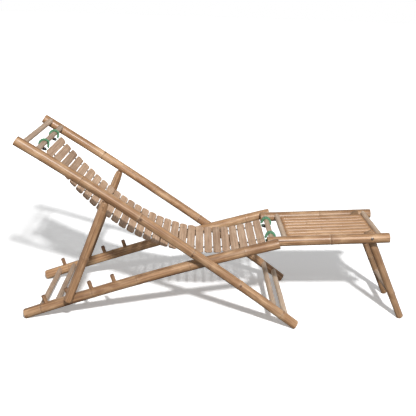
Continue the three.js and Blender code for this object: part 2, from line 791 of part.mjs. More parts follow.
const railRungHalf = rungHalf(railHalfSpread, railRadius);
const backRungHalf = rungHalf(backY, backTopRadius);
const rearNames = ['rear_base_rung', 'second_base_rung'];
rearRungPlaces.forEach((s, i) => {
  baseFrame.add(rung(rearNames[i], rail.at(s, rearRungLift), railRungHalf, rungRadius));
});
baseFrame.add(rung('front_mat_rung', frontRung, railRungHalf, matRungRadius));
backFrame.add(rung('top_rung', back.at(topRungPlace, topRungLift), backRungHalf, rungRadius));
backFrame.add(rung('mat_rung', matTop, backRungHalf, matRungRadius));
const lowerNames = ['upper_front_rung', 'lower_front_rung'];
lowerRungPlaces.forEach((s, i) => {
  const point = back.at(backLength - s, lowerRungLift);
  backFrame.add(rung(lowerNames[i], point, backRungHalf, rungRadius));
});
propFrame.add(rung('prop_rung', propRungPoint, rungHalf(propY, propRadius), propRungRadius, pegWood));
footrest.add(makeFootRung('inner_footrest_rung', 0), makeFootRung('outer_footrest_rung', 1));
for (let i = 0; i < caneCount; i++) footrest.add(makeCane(i));
legFrame.add(rung('leg_rung', legRungPoint, rungHalf(legY, legRadius), legRungRadius));
const sectionCount = Math.ceil(slatCount / slatsPerSection);
for (let i = 0; i < sectionCount; i++) mat.add(makeMatSection(i));

// The origin is the middle of the footprint, on the floor
recliner.updateMatrixWorld(true);
const extent = new THREE.Box3().setFromObject(recliner, true);
const middle = extent.getCenter(new THREE.Vector3());
recliner.position.set(-middle.x, -middle.y, -extent.min.z);

// Where the frames and the mat's sections turn, in the recliner's own frame
const shifted = ({ x, z }) => [x - middle.x, -middle.y, z - extent.min.z];
const sectionEnds = Array.from({ length: sectionCount - 1 }, (_, i) => (
  matLead + slatPitch * slatsPerSection * (i + 1) - (slatPitch - slatWidth) / 4
));
recliner.userData.pivots = {
  crossing: shifted(crossing),
  propHinge: shifted(propHinge),
  matTop: shifted(matTop),
  frontRung: shifted(frontRung),
  legPivot: shifted(legPivot),
  matJoints: sectionEnds.map((arc) => shifted(onMat(arc, slatThickness / 2))),
};

export default recliner;
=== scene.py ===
# Bamboo folding recliner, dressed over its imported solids. Metres, +Z up, X runs towards the foot end.
import itertools
import json
import math

import bmesh
import bpy
import numpy as np
from mathutils import Matrix, Vector


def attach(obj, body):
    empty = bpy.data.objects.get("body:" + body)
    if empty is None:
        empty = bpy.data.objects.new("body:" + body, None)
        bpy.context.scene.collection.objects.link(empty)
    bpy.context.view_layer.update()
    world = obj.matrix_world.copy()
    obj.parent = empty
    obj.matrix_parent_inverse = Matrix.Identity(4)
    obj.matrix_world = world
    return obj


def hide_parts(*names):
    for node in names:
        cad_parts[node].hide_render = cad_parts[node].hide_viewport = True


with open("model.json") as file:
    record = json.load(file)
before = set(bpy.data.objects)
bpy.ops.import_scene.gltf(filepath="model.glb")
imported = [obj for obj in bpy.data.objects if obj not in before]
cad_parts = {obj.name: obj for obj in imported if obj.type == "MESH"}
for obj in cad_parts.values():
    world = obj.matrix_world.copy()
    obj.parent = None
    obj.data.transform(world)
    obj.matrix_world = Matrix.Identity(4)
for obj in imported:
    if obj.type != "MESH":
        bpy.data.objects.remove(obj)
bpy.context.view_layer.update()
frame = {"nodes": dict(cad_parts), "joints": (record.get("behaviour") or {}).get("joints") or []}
joints = {joint["name"]: joint for joint in frame["joints"]}
materials = bpy.data.materials
scene = bpy.context.scene
TURN = 2 * math.pi

# Poles, rungs, pegs and pins, the same sizes as the solids have, but for the wider heads of the pegs
RAIL_REAR_X = 0.008
RAIL_LENGTH = 1.224
RAIL_RADIUS = 0.0235
RAIL_ANGLE = math.radians(17.85)
RAIL_BOW = 0.014
RAIL_HALF_SPREAD = 0.238
BACK_TOP_X = 0.015
BACK_TOP_HEIGHT = 0.849
BACK_TOP_RADIUS = 0.023
BACK_FOOT_RADIUS = 0.021
BACK_ANGLE = -math.radians(33.7)
BACK_BOW = 0.017
FOOT_LENGTH = 0.563
FOOT_RADIUS = 0.023
FOOT_ANGLE = math.radians(3.5)
FOOT_OVERHANG = 0.024
CANE_RADIUS = 0.0145
CANE_SIDE_GAP = 0.0029
CANE_LIFT = 0.001
CANE_TENON_RADIUS = 0.006
CANE_TENON_LENGTH = 0.007
CANE_NECK_LENGTH = 0.009
CANE_NECK_RADIUS = 0.009
CANE_COUNT = 7
LEG_PIVOT_INSET = 0.084
LEG_PIVOT_LIFT = 0.006
LEG_ANGLE = -math.radians(65.4)
LEG_RADIUS = 0.0185
LEG_END_RADIUS = 0.0165
LEG_HEAD = 0.018
LEG_TONGUE = 0.150
LEG_RUNG_PLACE = 0.324
LEG_RUNG_RADIUS = 0.014
PROP_HINGE_PLACE = 0.465
PROP_HINGE_DROP = 0.040
PROP_RADIUS = 0.020
PROP_HEAD_RADIUS = 0.017
PROP_HEEL = 0.030
PROP_RUNG_RADIUS = 0.011
FORK_DEPTH = 0.022
TONGUE_THICKNESS = 0.012
FORK_GAP = 0.0005
RUNG_RADIUS = 0.013
MAT_RUNG_RADIUS = 0.0125
RUNG_RIDGE = 0.0007
TENON_DEPTH = 0.026
REAR_RUNG_PLACES = (0.084, 0.162)
REAR_RUNG_LIFT = 0.007
FRONT_RUNG_INSET = 0.027
FRONT_RUNG_LIFT = 0.004
TOP_RUNG_PLACE = 0.034
MAT_RUNG_PLACE = 0.095
TOP_RUNG_LIFT = 0.008
LOWER_RUNG_INSETS = (0.133, 0.065)
LOWER_RUNG_LIFT = 0.006
FOOT_RUNG_LEAD = 0.084
FOOT_RUNG_INSET = 0.041
FOOT_RUNG_LIFT = 0.006
PEG_PITCH = 0.112
PEG_RADIUS = 0.0085
PEG_HEAD_RADIUS = 0.0098
PEG_HEIGHT = 0.036
PEG_SEAT = 0.020
PEG_COUNT = 4
PIN_RADIUS = 0.004
PIN_HEAD_RADIUS = 0.007
PIN_HEAD_THICKNESS = 0.003
SIDE_GAP = 0.0014
SEAT_GAP = 0.0003
FOOT_FLAT = 0.002
CHAMFER = 0.0025
WALL = 0.007
BORE = 0.010

# Mat and its cords. The slats hang askew a little more, and lie closer together, than their solids
MAT_CURVE = 0.655
MAT_ROLL = math.radians(3.2)
MAT_SAG = math.radians(2.4)
SLAT_COUNT = 28
SLATS_PER_SECTION = 4
DARK_SLATS = (2, 11, 22)
SLAT_SIDE_GAP = 0.0016
SLAT_GAP = 0.0034
SLAT_THICKNESS = 0.0085
SLAT_CORNER = 0.015
MAT_LEAD = 0.030
MAT_TAIL = 0.030
BEAD_RADIUS = 0.0036
BEAD_SEAT = 0.0015
CORD_RADIUS = 0.0042
ROPE_RADIUS = 1.35 * CORD_RADIUS
ROPE_LAY = 0.024
LOOP_STRAIGHT = 0.005
LOOP_TURN_STEPS = 8
SLEEVE_BORE = CORD_RADIUS + 0.0009
SLEEVE_RADIUS = SLEEVE_BORE + 0.001
SLEEVE_LENGTH = 0.013
HINGE_GAP = 0.00095
WINDING_STEP = 0.0105
SLEEVED_SHARES = (0.28, 0.94)
BEAD_SPREAD_SHARE = 0.622
LOOP_SPREAD_SHARE = 0.677
LOOP_STEP_SHARE = 0.266

# Where the culm nodes sit along each piece, as shares of its length
RAIL_NODES = {"near": (0.073, 0.278, 0.455, 0.66, 0.87), "far": (0.11, 0.31, 0.5, 0.68, 0.9)}
BACK_NODES = {"near": (0.217, 0.418, 0.608, 0.781, 0.944), "far": (0.232, 0.445, 0.629, 0.75, 0.87)}
FOOT_NODE = {"near": 0.528, "far": 0.543}
LEG_NODE = {"near": 0.72, "far": 0.56}
PROP_NODE = {"near": 0.55, "far": 0.33}
CANE_NODES = (0.35, 0.62, 0.44, 0.7, 0.3, 0.55, 0.48)

# How light or dark each cane is
CANE_TONES = (0.2, 0.12, -0.08, 0.16, -0.02, -0.03, -0.08)

# How far below its node a dark scar runs
SCAR_DROP = 0.0045

# Dark knots on the back poles: share of the length, angle round the pole, size
BACK_EYES = {"near": ((0.420, 3.05, 0.0075), (0.607, 3.5, 0.0065), (0.782, 2.9, 0.0065)),
             "far": ((0.232, 2.0, 0.006),)}


def eased(low, high, value):
    """0 below low, 1 above high, with a smooth step between."""
    t = np.clip((value - low) / (high - low), 0, 1)
    return t * t * (3 - 2 * t)


def hump(value, width):
    """A bell that is 1 where the value is 0."""
    return np.exp(-((value / width) ** 2))


class Line:
    """A straight or bowed centre line in the side view. Lift is measured square to it."""

    def __init__(self, x, z, angle, length, bow=0.0, power=2.0):
        self.x, self.z, self.angle, self.length, self.bow, self.power = x, z, angle, length, bow, power

    def bow_at(self, s):
        share = np.clip(np.asarray(s, float) / self.length, 0, 1)
        return self.bow * (1 - np.abs(2 * share - 1) ** self.power)

    def at(self, s, lift=0.0):
        rise = lift + self.bow_at(s)
        x = self.x + s * math.cos(self.angle) - rise * math.sin(self.angle)
        z = self.z + s * math.sin(self.angle) + rise * math.cos(self.angle)
        return x, z

    def height_of(self, x, z):
        dx, dz = x - self.x, z - self.z
        s = dx * math.cos(self.angle) + dz * math.sin(self.angle)
        return dz * math.cos(self.angle) - dx * math.sin(self.angle) - self.bow_at(s)

    def place(self, y):
        """Turns places along the line, sideways and up into points."""

        def put(s, side, up):
            x, z = self.at(s, up)
            return np.stack([x, y + side, z], -1)

        return put


def across(x, z, half):
    """The same for a piece that lies across the chair."""

    def put(s, side, up):
        return np.stack([x + side, s - half, z + up], -1)

    return put


def crossing_place(line, other):
    """Where along the line the other one crosses it."""
    low, high = 0.0, line.length
    sign = math.copysign(1, other.height_of(*line.at(low)))
    for _ in range(50):
        middle = (low + high) / 2
        if math.copysign(1, other.height_of(*line.at(middle))) == sign:
            low = middle
        else:
            high = middle
    return (low + high) / 2


# Centre lines of a rail and a back pole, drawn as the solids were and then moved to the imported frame
rail = Line(RAIL_REAR_X, RAIL_RADIUS * math.cos(RAIL_ANGLE) - FOOT_FLAT, RAIL_ANGLE, RAIL_LENGTH, RAIL_BOW)
back_foot = BACK_FOOT_RADIUS * math.cos(BACK_ANGLE) - FOOT_FLAT
back_length = (BACK_TOP_HEIGHT - back_foot) / math.sin(-BACK_ANGLE)
back = Line(BACK_TOP_X, BACK_TOP_HEIGHT, BACK_ANGLE, back_length, BACK_BOW, 2.5)
drawn_x, _ = rail.at(RAIL_LENGTH - FRONT_RUNG_INSET, FRONT_RUNG_LIFT)
shift = joints["footrest_lift"]["pos_m"][0] - float(drawn_x)
rail.x += shift
back.x += shift

# The rest of the side view
crossing = rail.at(crossing_place(rail, back))
front_rung = rail.at(RAIL_LENGTH - FRONT_RUNG_INSET, FRONT_RUNG_LIFT)
level, slope = math.cos(FOOT_ANGLE), math.sin(FOOT_ANGLE)
foot = Line(front_rung[0] - FOOT_OVERHANG * level + FRONT_RUNG_LIFT * slope,
            front_rung[1] - FOOT_OVERHANG * slope - FRONT_RUNG_LIFT * level, FOOT_ANGLE, FOOT_LENGTH)
foot_rung_places = (FOOT_RUNG_LEAD, FOOT_LENGTH - FOOT_RUNG_INSET)
leg_pivot = foot.at(FOOT_LENGTH - LEG_PIVOT_INSET, LEG_PIVOT_LIFT)
leg_reach = (leg_pivot[1] - LEG_END_RADIUS * math.cos(LEG_ANGLE) + FOOT_FLAT) / math.sin(-LEG_ANGLE)
leg = Line(leg_pivot[0] - LEG_HEAD * math.cos(LEG_ANGLE), leg_pivot[1] - LEG_HEAD * math.sin(LEG_ANGLE),
           LEG_ANGLE, LEG_HEAD + leg_reach)
peg_places = [PEG_PITCH * (i + 1) for i in range(PEG_COUNT)]
prop_hinge = back.at(PROP_HINGE_PLACE, -PROP_HINGE_DROP)
prop_rung_point = rail.at(peg_places[1] + PEG_RADIUS + PROP_RUNG_RADIUS + SEAT_GAP,
                          RAIL_RADIUS + PROP_RUNG_RADIUS + SEAT_GAP)
prop_angle = math.atan2(prop_rung_point[1] - prop_hinge[1], prop_rung_point[0] - prop_hinge[0])
prop_span = math.dist(prop_rung_point, prop_hinge)
prop = Line(prop_hinge[0] - PROP_HEAD_RADIUS * math.cos(prop_angle),
            prop_hinge[1] - PROP_HEAD_RADIUS * math.sin(prop_angle),
            prop_angle, PROP_HEAD_RADIUS + prop_span + PROP_HEEL)

# Places across the chair
BACK_Y = RAIL_HALF_SPREAD + RAIL_RADIUS + BACK_TOP_RADIUS + SIDE_GAP
FOOT_Y = RAIL_HALF_SPREAD - RAIL_RADIUS - FOOT_RADIUS - SIDE_GAP
LEG_Y = FOOT_Y - FOOT_RADIUS - LEG_RADIUS - SIDE_GAP
LEG_FACE_Y = LEG_Y + SIDE_GAP
SLAT_HALF = FOOT_Y - FOOT_RADIUS - SLAT_SIDE_GAP
SIDES = (("near", -1), ("far", 1))

# Mat curve
mat_top = back.at(MAT_RUNG_PLACE, TOP_RUNG_LIFT)
mat_span = front_rung[0] - mat_top[0]
mat_drop = front_rung[1] - mat_top[1]
mat_chord = 2 * MAT_CURVE * math.sinh(mat_span / (2 * MAT_CURVE))
mat_low_x = (mat_top[0] + front_rung[0]) / 2 - MAT_CURVE * math.asinh(mat_drop / mat_chord)
mat_length = math.hypot(mat_drop, mat_chord)
top_share = (mat_top[0] - mat_low_x) / MAT_CURVE
mat_start = MAT_CURVE * math.sinh(top_share)
mat_low_z = mat_top[1] - MAT_CURVE * math.cosh(top_share)
slat_pitch = (mat_length - MAT_LEAD - MAT_TAIL) / SLAT_COUNT
SLAT_WIDTH = slat_pitch - SLAT_GAP


def on_mat(arc):
    """Place and slope of the mat at a length from its top."""
    along = mat_start + arc
    x = mat_low_x + MAT_CURVE * math.asinh(along / MAT_CURVE)
    z = mat_low_z + MAT_CURVE * math.cosh((x - mat_low_x) / MAT_CURVE)
    return x, z, math.atan(along / MAT_CURVE)


def mat_place(arc, twist=0.0):
    """Turns places along, across and square to the mat into points."""
    x, z, angle = on_mat(arc)
    share = arc / mat_length
    sag = MAT_SAG * eased(0.0, 0.22, share) * (1 - eased(0.42, 0.75, share))
    roll = MAT_ROLL * math.sin(math.pi * share) + sag + twist

    def put(along, side, up):
        y = side * math.cos(roll) - up * math.sin(roll)
        rise = side * math.sin(roll) + up * math.cos(roll)
        return np.stack([x + along * math.cos(angle) - rise * math.sin(angle), y,
                         z + along * math.sin(angle) + rise * math.cos(angle)], -1)

    return put


# Meshes: rings of points joined into skins, with the layers that the materials read
LAYERS = ("scar", "band", "cut", "tone", "shade")
seeds = itertools.count(1)


def wobble(s, turn, seed):
    """A slow unevenness between -1 and 1 over a culm's skin."""
    waves = enumerate(((9.0, 1), (17.0, 2), (31.0, 1), (23.0, 3)), 1)
    return sum(np.sin(rate * s + lobes * turn + 1.7 * seed * i) / 4 for i, (rate, lobes) in waves)


def grain_at(side, up, s, seed):
    """What the materials read, with s along the fibres. Each seed has its own part of the pattern."""
    return np.stack([side + 0.173 * seed, up + 0.091 * seed, s + 0.317 * seed], -1)


def add_object(name, data):
    made = bpy.data.objects.new(name, data)
    scene.collection.objects.link(made)
    return made


class Skin:
    """One mesh made of lofted rings."""

    def __init__(self, tone=0.0):
        self.points, self.faces, self.grain = [], [], []
        self.layers = {name: [] for name in LAYERS}
        self.tone = tone

    def count(self):
        return sum(len(p) for p in self.points)

    def add(self, points, grain, closed=False, **layers):
        """points and grain: rings x sides x 3. Layers: rings x sides, or what spreads to that."""
        rings, sides = points.shape[:2]
        base = self.count()
        layers = {"tone": self.tone, **layers}
        values = {name: np.broadcast_to(layers.get(name, 0.0), (rings, sides)) for name in LAYERS}
        self.points.append(points.reshape(-1, 3))
        self.grain.append(grain.reshape(-1, 3))
        for name in LAYERS:
            self.layers[name].append(values[name].reshape(-1))
        for r in range(rings if closed else rings - 1):
            a, b = base + r * sides, base + ((r + 1) % rings) * sides
            for i in range(sides):
                j = (i + 1) % sides
                self.faces.append((a + i, a + j, b + j, b + i))
        if closed:
            return
        for ring, order in ((0, -1), (rings - 1, 1)):
            middle = self.count()
            self.points.append(points[ring].mean(0, keepdims=True))
            self.grain.append(grain[ring].mean(0, keepdims=True))
            for name in LAYERS:
                self.layers[name].append(values[name][ring].mean(keepdims=True))
            start = base + ring * sides
            for i in range(sides):
                pair = (start + i, start + (i + 1) % sides)[::order]
                self.faces.append((*pair, middle))

    def build(self, name, material, body, replaces, sharp=40):
        points = np.concatenate(self.points)
        mesh = bpy.data.meshes.new(name)
        mesh.from_pydata(points.tolist(), [], self.faces)
        grain = mesh.attributes.new("grain", "FLOAT_VECTOR", "POINT")
        grain.data.foreach_set("vector", np.concatenate(self.grain).astype(np.float32).reshape(-1))
        for layer in LAYERS:
            values = np.concatenate(self.layers[layer]).astype(np.float32)
            mesh.attributes.new(layer, "FLOAT", "POINT").data.foreach_set("value", values)
        work = bmesh.new()
        work.from_mesh(mesh)
        bmesh.ops.recalc_face_normals(work, faces=work.faces)
        work.to_mesh(mesh)
        work.free()
        mesh.shade_smooth()
        mesh.set_sharp_from_angle(angle=math.radians(sharp))
        mesh.materials.append(material)
        piece = add_object(name, mesh)
        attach(piece, body)
        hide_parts(replaces)


def culm_stations(length, marks, step):
    """Ring places along a culm: close together at its nodes and wider between them."""
    close = [-14, -10, -7.5, -6, -5.2, -4.5, -3.8, -3, -2, -1, 0, 1, 2, 3.2, 5, 8, 12]
    places = [at + 0.001 * c for at in marks for c in close]
    count = max(int(length / step), 2)
    even = (length * i / count for i in range(1, count))
    places += [s for s in even if all(abs(s - at) > 0.016 for at in marks)]
    return sorted(s for s in places if 0.006 < s < length - 0.006)


def end_profile(kind):
    """Rings of an end, from the middle outwards: depth, inset from the skin, cut share, and 1 where the
    inset is a share of the radius."""
    if kind == "open":
        rings = [(BORE, WALL, 1.0, 0), (0.0006, WALL, 1.0, 0), (0.0, WALL - 0.0006, 1.0, 0),
                 (0.0, WALL * 0.6, 1.0, 0), (0.0, CHAMFER, 1.0, 0)]
        size = CHAMFER
    elif kind == "round":
        rings = [(0.0, 0.75, 0.6, 1), (0.0004, 0.6, 0.5, 1)]
        size = 0.007
    else:
        rings = [(0.0, 0.6, 1.0, 1), (0.0, 0.3, 1.0, 1), (0.0, 0.0016, 1.0, 0)]
        size = 0.0016
    for i in range(1 if kind != "round" else 0, 6):
        angle = math.pi / 2 * i / 5
        cut = {"open": 1 - i / 4, "round": 0.45 - i / 8, "plain": 1 - i / 3}[kind]
        rings.append((size * (1 - math.cos(angle)), size * (1 - math.sin(angle)), max(cut, 0.0), 0))
    return rings


def culm(skin, place, length, radius, end_radius=None, nodes=(), eyes=(), ridge=0.0012,
         ends=("open", "open"), sides=32, step=0.018, shape=None, floor=False, uneven=0.00025,
         groove=0.0009, seed=None, marking=1.0):
    """A bamboo culm: its nodes, the grooves its branches left, a little unevenness and its cut ends."""
    seed = next(seeds) if seed is None else seed
    end_radius = radius if end_radius is None else end_radius
    marks = [share * length for share in nodes]
    rows = end_profile(ends[0])
    rows += [(s, 0.0, 0.0, 0) for s in culm_stations(length, marks, step)]
    rows += [(length - s, *rest) for s, *rest in end_profile(ends[1])][::-1]
    s, inset, cut, as_share = (column[:, None] for column in np.array(rows, float).T)
    inset = np.where(as_share > 0, inset * radius, inset)
    base = radius + (end_radius - radius) * np.clip(s / length, 0, 1)
    turn = (TURN * np.arange(sides) / sides)[None, :]
    detail = uneven * wobble(s, turn, seed) + 0.011 * base * np.cos(2 * turn + 0.8 * seed + 1.5 * s)
    scar, band, shade = np.zeros((3, len(rows), sides))
    for k, at in enumerate(marks):
        mark = np.broadcast_to(marking, len(marks))[k] * (0.75 + 0.25 * math.sin(2.7 * seed + 1.9 * k))
        wave = 0.0007 * np.sin(turn * 2 + seed + k) + 0.0004 * np.sin(turn * 3 + 2 * seed)
        d = s - at + wave
        detail += ridge * (0.38 * hump(d, 0.013) + 0.62 * hump(d, 0.0026))
        detail -= 0.55 * ridge * hump(d + SCAR_DROP, 0.0009)
        dark = 0.95 * hump(d + SCAR_DROP, 0.0011) + 0.3 * hump(d - 0.0006, 0.0014)
        scar = np.maximum(scar, mark * dark)
        band = np.maximum(band, mark * (0.5 * hump(d + 0.0088, 0.0032) + 0.25 * hump(d - 0.004, 0.003)))
        # The groove that a branch left above the node, on alternating sides
        ahead = (marks[k + 1] if k + 1 < len(marks) else length) - at
        facing = seed * 1.9 + (k % 2) * math.pi
        off = (turn - facing + math.pi) % TURN - math.pi
        along = eased(0.0, 0.012, s - at) * (1 - eased(0.25 * ahead, 0.8 * ahead, s - at))
        detail -= groove * hump(off, 0.42) * along
        shade = np.maximum(shade, 0.5 * hump(off, 0.5) * along)
    for share, facing, size in eyes:
        off = (turn - facing + math.pi) % TURN - math.pi
        near = ((s - share * length) / size) ** 2 + (off * base / size) ** 2
        scar = np.maximum(scar, np.exp(-near ** 2))
        detail -= 0.0009 * np.exp(-near)
    r = base + detail * (1 - cut) - inset
    side, up = r * np.cos(turn), r * np.sin(turn)
    s = np.broadcast_to(s, side.shape)
    grain = grain_at(side, up, s, seed)
    if shape:
        side, up, whittled = shape(s, side, up)
        cut = np.maximum(cut, whittled)
    points = place(s, side, up)
    if floor:
        cut = np.maximum(cut, np.where(points[..., 2] < 0, 0.8, 0.0))
        points[..., 2] = np.maximum(points[..., 2], 0.0)
    skin.add(points, grain, scar=scar, band=band, cut=cut, shade=shade)


def lathe(skin, place, rows, sides=24, seed=None, cuts=0.0, closed=False):
    """A turned piece from places and radii along its axis."""
    seed = next(seeds) if seed is None else seed
    s, r = (column[:, None] for column in np.array(rows, float).T)
    turn = (TURN * np.arange(sides) / sides)[None, :]
    side, up = r * np.cos(turn), r * np.sin(turn)
    s = np.broadcast_to(s, side.shape)
    skin.add(place(s, side, up), grain_at(side, up, s, seed), closed=closed, cut=np.reshape(cuts, (-1, 1)))


# Materials
class Graph:
    """Short calls for the nodes of a material, the world or the lamp."""

    def __init__(self, owner):
        self.owner = owner
        owner.use_nodes = True
        owner.node_tree.nodes.clear()

    def node(self, kind, inputs=None, **settings):
        """A new node. An input takes another node's output, or a value."""
        made = self.owner.node_tree.nodes.new(kind)
        for key, value in settings.items():
            setattr(made, key, value)
        for key, value in (inputs or {}).items():
            if hasattr(value, "is_output"):
                self.owner.node_tree.links.new(value, made.inputs[key])
            else:
                made.inputs[key].default_value = value
        return made

    def layer(self, name):
        made = self.node("ShaderNodeAttribute", attribute_name=name, attribute_type="GEOMETRY")
        return made.outputs["Vector" if name == "grain" else "Fac"]

    def stretch(self, vector, scale):
        return self.node("ShaderNodeMapping", {"Vector": vector, "Scale": scale}).outputs["Vector"]

    def noise(self, vector, scale, detail=3.0, rough=0.55, distortion=0.0):
        inputs = {"Vector": self.stretch(vector, scale), "Scale": 1.0, "Detail": detail, "Roughness": rough,
                  "Distortion": distortion}
        return self.node("ShaderNodeTexNoise", inputs).outputs["Fac"]

    def cells(self, vector, scale):
        inputs = {"Vector": self.stretch(vector, scale), "Scale": 1.0}
        return self.node("ShaderNodeTexVoronoi", inputs).outputs["Distance"]

    def math(self, operation, a, b):
        return self.node("ShaderNodeMath", {0: a, 1: b}, operation=operation).outputs[0]

    def spread(self, value, low=0.3, high=0.7, to_low=0.0, to_high=1.0):
        inputs = {"Value": value, "From Min": low, "From Max": high, "To Min": to_low, "To Max": to_high}
        return self.node("ShaderNodeMapRange", inputs, interpolation_type="SMOOTHSTEP").outputs["Result"]

    def mix(self, share, a, b, blend="MIX"):
        a, b = (colour if hasattr(colour, "is_output") else (*colour, 1.0) for colour in (a, b))
        made = self.node("ShaderNodeMix", {0: share, 6: a, 7: b}, data_type="RGBA", blend_type=blend)
        return made.outputs[2]

    def stain(self, base, mask, strength, colour):
        """The base with a colour over it where the mask is."""
        return self.mix(self.math("MULTIPLY", mask, strength), base, colour)

    def grade(self, base, strength, pattern, dark, light):
        """The base made darker and lighter by a pattern."""
        return self.mix(strength, base, self.mix(self.spread(pattern), dark, light), "MULTIPLY")

    def end_grain(self, base, dots, low, high, dark_share, colour):
        """The base with dots of cut fibres where the piece is cut."""
        dark = tuple(dark_share * c for c in colour)
        return self.mix(self.layer("cut"), base, self.mix(self.spread(dots, low, high), dark, colour))

    def bump(self, height, strength, distance, **under):
        inputs = {"Strength": strength, "Distance": distance, "Height": height, **under}
        return self.node("ShaderNodeBump", inputs).outputs["Normal"]

    def finish(self, colour, rough, **more):
        more = {key.replace("_", " "): value for key, value in more.items()}
        shader = self.node("ShaderNodeBsdfPrincipled", {"Base Color": colour, "Roughness": rough, **more})
        self.node("ShaderNodeOutputMaterial", {"Surface": shader.outputs["BSDF"]})
        return self.owner


def bamboo(name, dark, middle, light, scar, pale, cut, red, gloss=0.40, coat=0.12, streak=0.5, fibre=0.5,
           fine=1.0, worn=0.35):
    """Bamboo skin: fine fibres along the culm, broader streaks, stains, dark nodes and cut ends."""
    g = Graph(materials.new(name))
    grain = g.layer("grain")
    fibres = g.noise(grain, (1300 * fine, 1300 * fine, 22), rough=0.6)
    lines = g.noise(grain, (300 * fine, 300 * fine, 3.5), detail=2, rough=0.5)
    streaks = g.noise(grain, (110, 110, 2.6))
    clouds = g.noise(grain, (24, 24, 9), rough=0.6, distortion=0.4)
    flecks = g.noise(grain, (260, 260, 60), detail=2, rough=0.7)
    wear = g.noise(grain, (13, 13, 4.2), detail=2)
    dots = g.cells(grain, (900, 900, 40))
    base = g.mix(g.spread(streaks), dark, middle)
    base = g.stain(base, g.spread(clouds, 0.42, 0.72), 0.75, light)
    base = g.stain(base, g.spread(wear, 0.48, 0.72), worn, red)
    base = g.grade(base, streak, lines, (0.62, 0.56, 0.5), (1.22, 1.2, 1.16))
    base = g.grade(base, fibre, fibres, (0.78, 0.74, 0.69), (1.12, 1.12, 1.1))
    base = g.stain(base, g.spread(flecks, 0.66, 0.8), 0.45, scar)
    base = g.stain(base, g.layer("shade"), 0.45, g.mix(0.5, base, scar))
    base = g.stain(base, g.layer("band"), 0.4, pale)
    ragged = g.math("MULTIPLY", g.layer("scar"), g.spread(flecks, 0.2, 0.5, 0.7))
    base = g.stain(base, ragged, 0.88, scar)
    base = g.end_grain(base, dots, 0.15, 0.5, 0.42, cut)
    tone = g.layer("tone")
    base = g.mix(g.math("MAXIMUM", tone, 0.0), base, (1.0, 0.98, 0.95), "SOFT_LIGHT")
    darkening = g.math("MAXIMUM", g.math("MULTIPLY", tone, -1.0), 0.0)
    base = g.mix(darkening, base, (0.10, 0.09, 0.09), "MULTIPLY")
    gleam = g.math("ADD", g.math("MULTIPLY", fibres, 0.5), g.math("MULTIPLY", clouds, 0.5))
    rough = g.spread(gleam, 0.3, 0.7, gloss - 0.07, gloss + 0.14)
    rough = g.math("ADD", rough, g.math("MULTIPLY", g.layer("cut"), 0.3))
    normal = g.bump(lines, 0.22, 0.0006)
    normal = g.bump(fibres, 0.3, 0.00025, Normal=normal)
    normal = g.bump(dots, 0.15, 0.0002, Normal=normal)
    return g.finish(base, rough, Normal=normal, Coat_Weight=coat, Coat_Roughness=0.28,
                    Specular_IOR_Level=0.42)


def plain_wood(name, dark, light, cut):
    """Turned wood of the pegs and dowels."""
    g = Graph(materials.new(name))
    grain = g.layer("grain")
    fibres = g.noise(grain, (900, 900, 30), detail=4, rough=0.65)
    streaks = g.noise(grain, (260, 260, 9), detail=2)
    base = g.mix(g.spread(streaks), dark, light)
    base = g.grade(base, 0.6, fibres, (0.6, 0.56, 0.5), (1.15, 1.13, 1.1))
    base = g.end_grain(base, g.cells(grain, (700, 700, 60)), 0.1, 0.6, 0.5, cut)
    rough = g.spread(fibres, 0.3, 0.7, 0.5, 0.75)
    return g.finish(base, rough, Normal=g.bump(fibres, 0.45, 0.0004), Specular_IOR_Level=0.35)


def tongue_wood(name):
    """Sawn wood for the solids that stay as they are."""
    g = Graph(materials.new(name))
    place = g.node("ShaderNodeTexCoord").outputs["Object"]
    fibres = g.noise(place, (300, 900, 90), detail=4, rough=0.65, distortion=0.3)
    base = g.mix(g.spread(fibres), (0.16, 0.085, 0.042), (0.33, 0.19, 0.10))
    return g.finish(base, g.spread(fibres, 0.3, 0.7, 0.5, 0.75), Normal=g.bump(fibres, 0.4, 0.0004))


def metal(name):
    g = Graph(materials.new(name))
    grain = g.layer("grain")
    stains = g.noise(grain, (160, 160, 160), detail=5, rough=0.65)
    dents = g.noise(grain, (500, 500, 500), detail=2)
    base = g.mix(g.spread(stains, 0.4, 0.65), (0.34, 0.29, 0.25), (0.20, 0.12, 0.08))
    rough = g.spread(stains, 0.35, 0.65, 0.38, 0.72)
    return g.finish(base, rough, Normal=g.bump(dents, 0.25, 0.0003), Metallic=0.8)


def rope_green(name):
    g = Graph(materials.new(name))
    grain = g.layer("grain")
    yarns = g.noise(grain, (1900, 1900, 380), rough=0.6)
    worn = g.noise(grain, (130, 130, 60))
    base = g.mix(g.spread(yarns), (0.055, 0.19, 0.095), (0.13, 0.32, 0.175))
    base = g.stain(base, g.spread(worn, 0.5, 0.75), 0.45, (0.23, 0.40, 0.29))
    base = g.stain(base, g.layer("shade"), 0.8, (0.012, 0.07, 0.03))
    return g.finish(base, g.spread(yarns, 0.3, 0.7, 0.6, 0.85), Normal=g.bump(yarns, 0.55, 0.0005),
                    Sheen_Weight=0.25, Sheen_Roughness=0.4)


def black_rubber(name, dark, light):
    g = Graph(materials.new(name))
    scuffs = g.noise(g.layer("grain"), (420, 420, 420), detail=4, rough=0.6)
    base = g.mix(g.spread(scuffs, 0.45, 0.7), dark, light)
    return g.finish(base, g.spread(scuffs, 0.3, 0.7, 0.38, 0.62), Normal=g.bump(scuffs, 0.2, 0.0003))


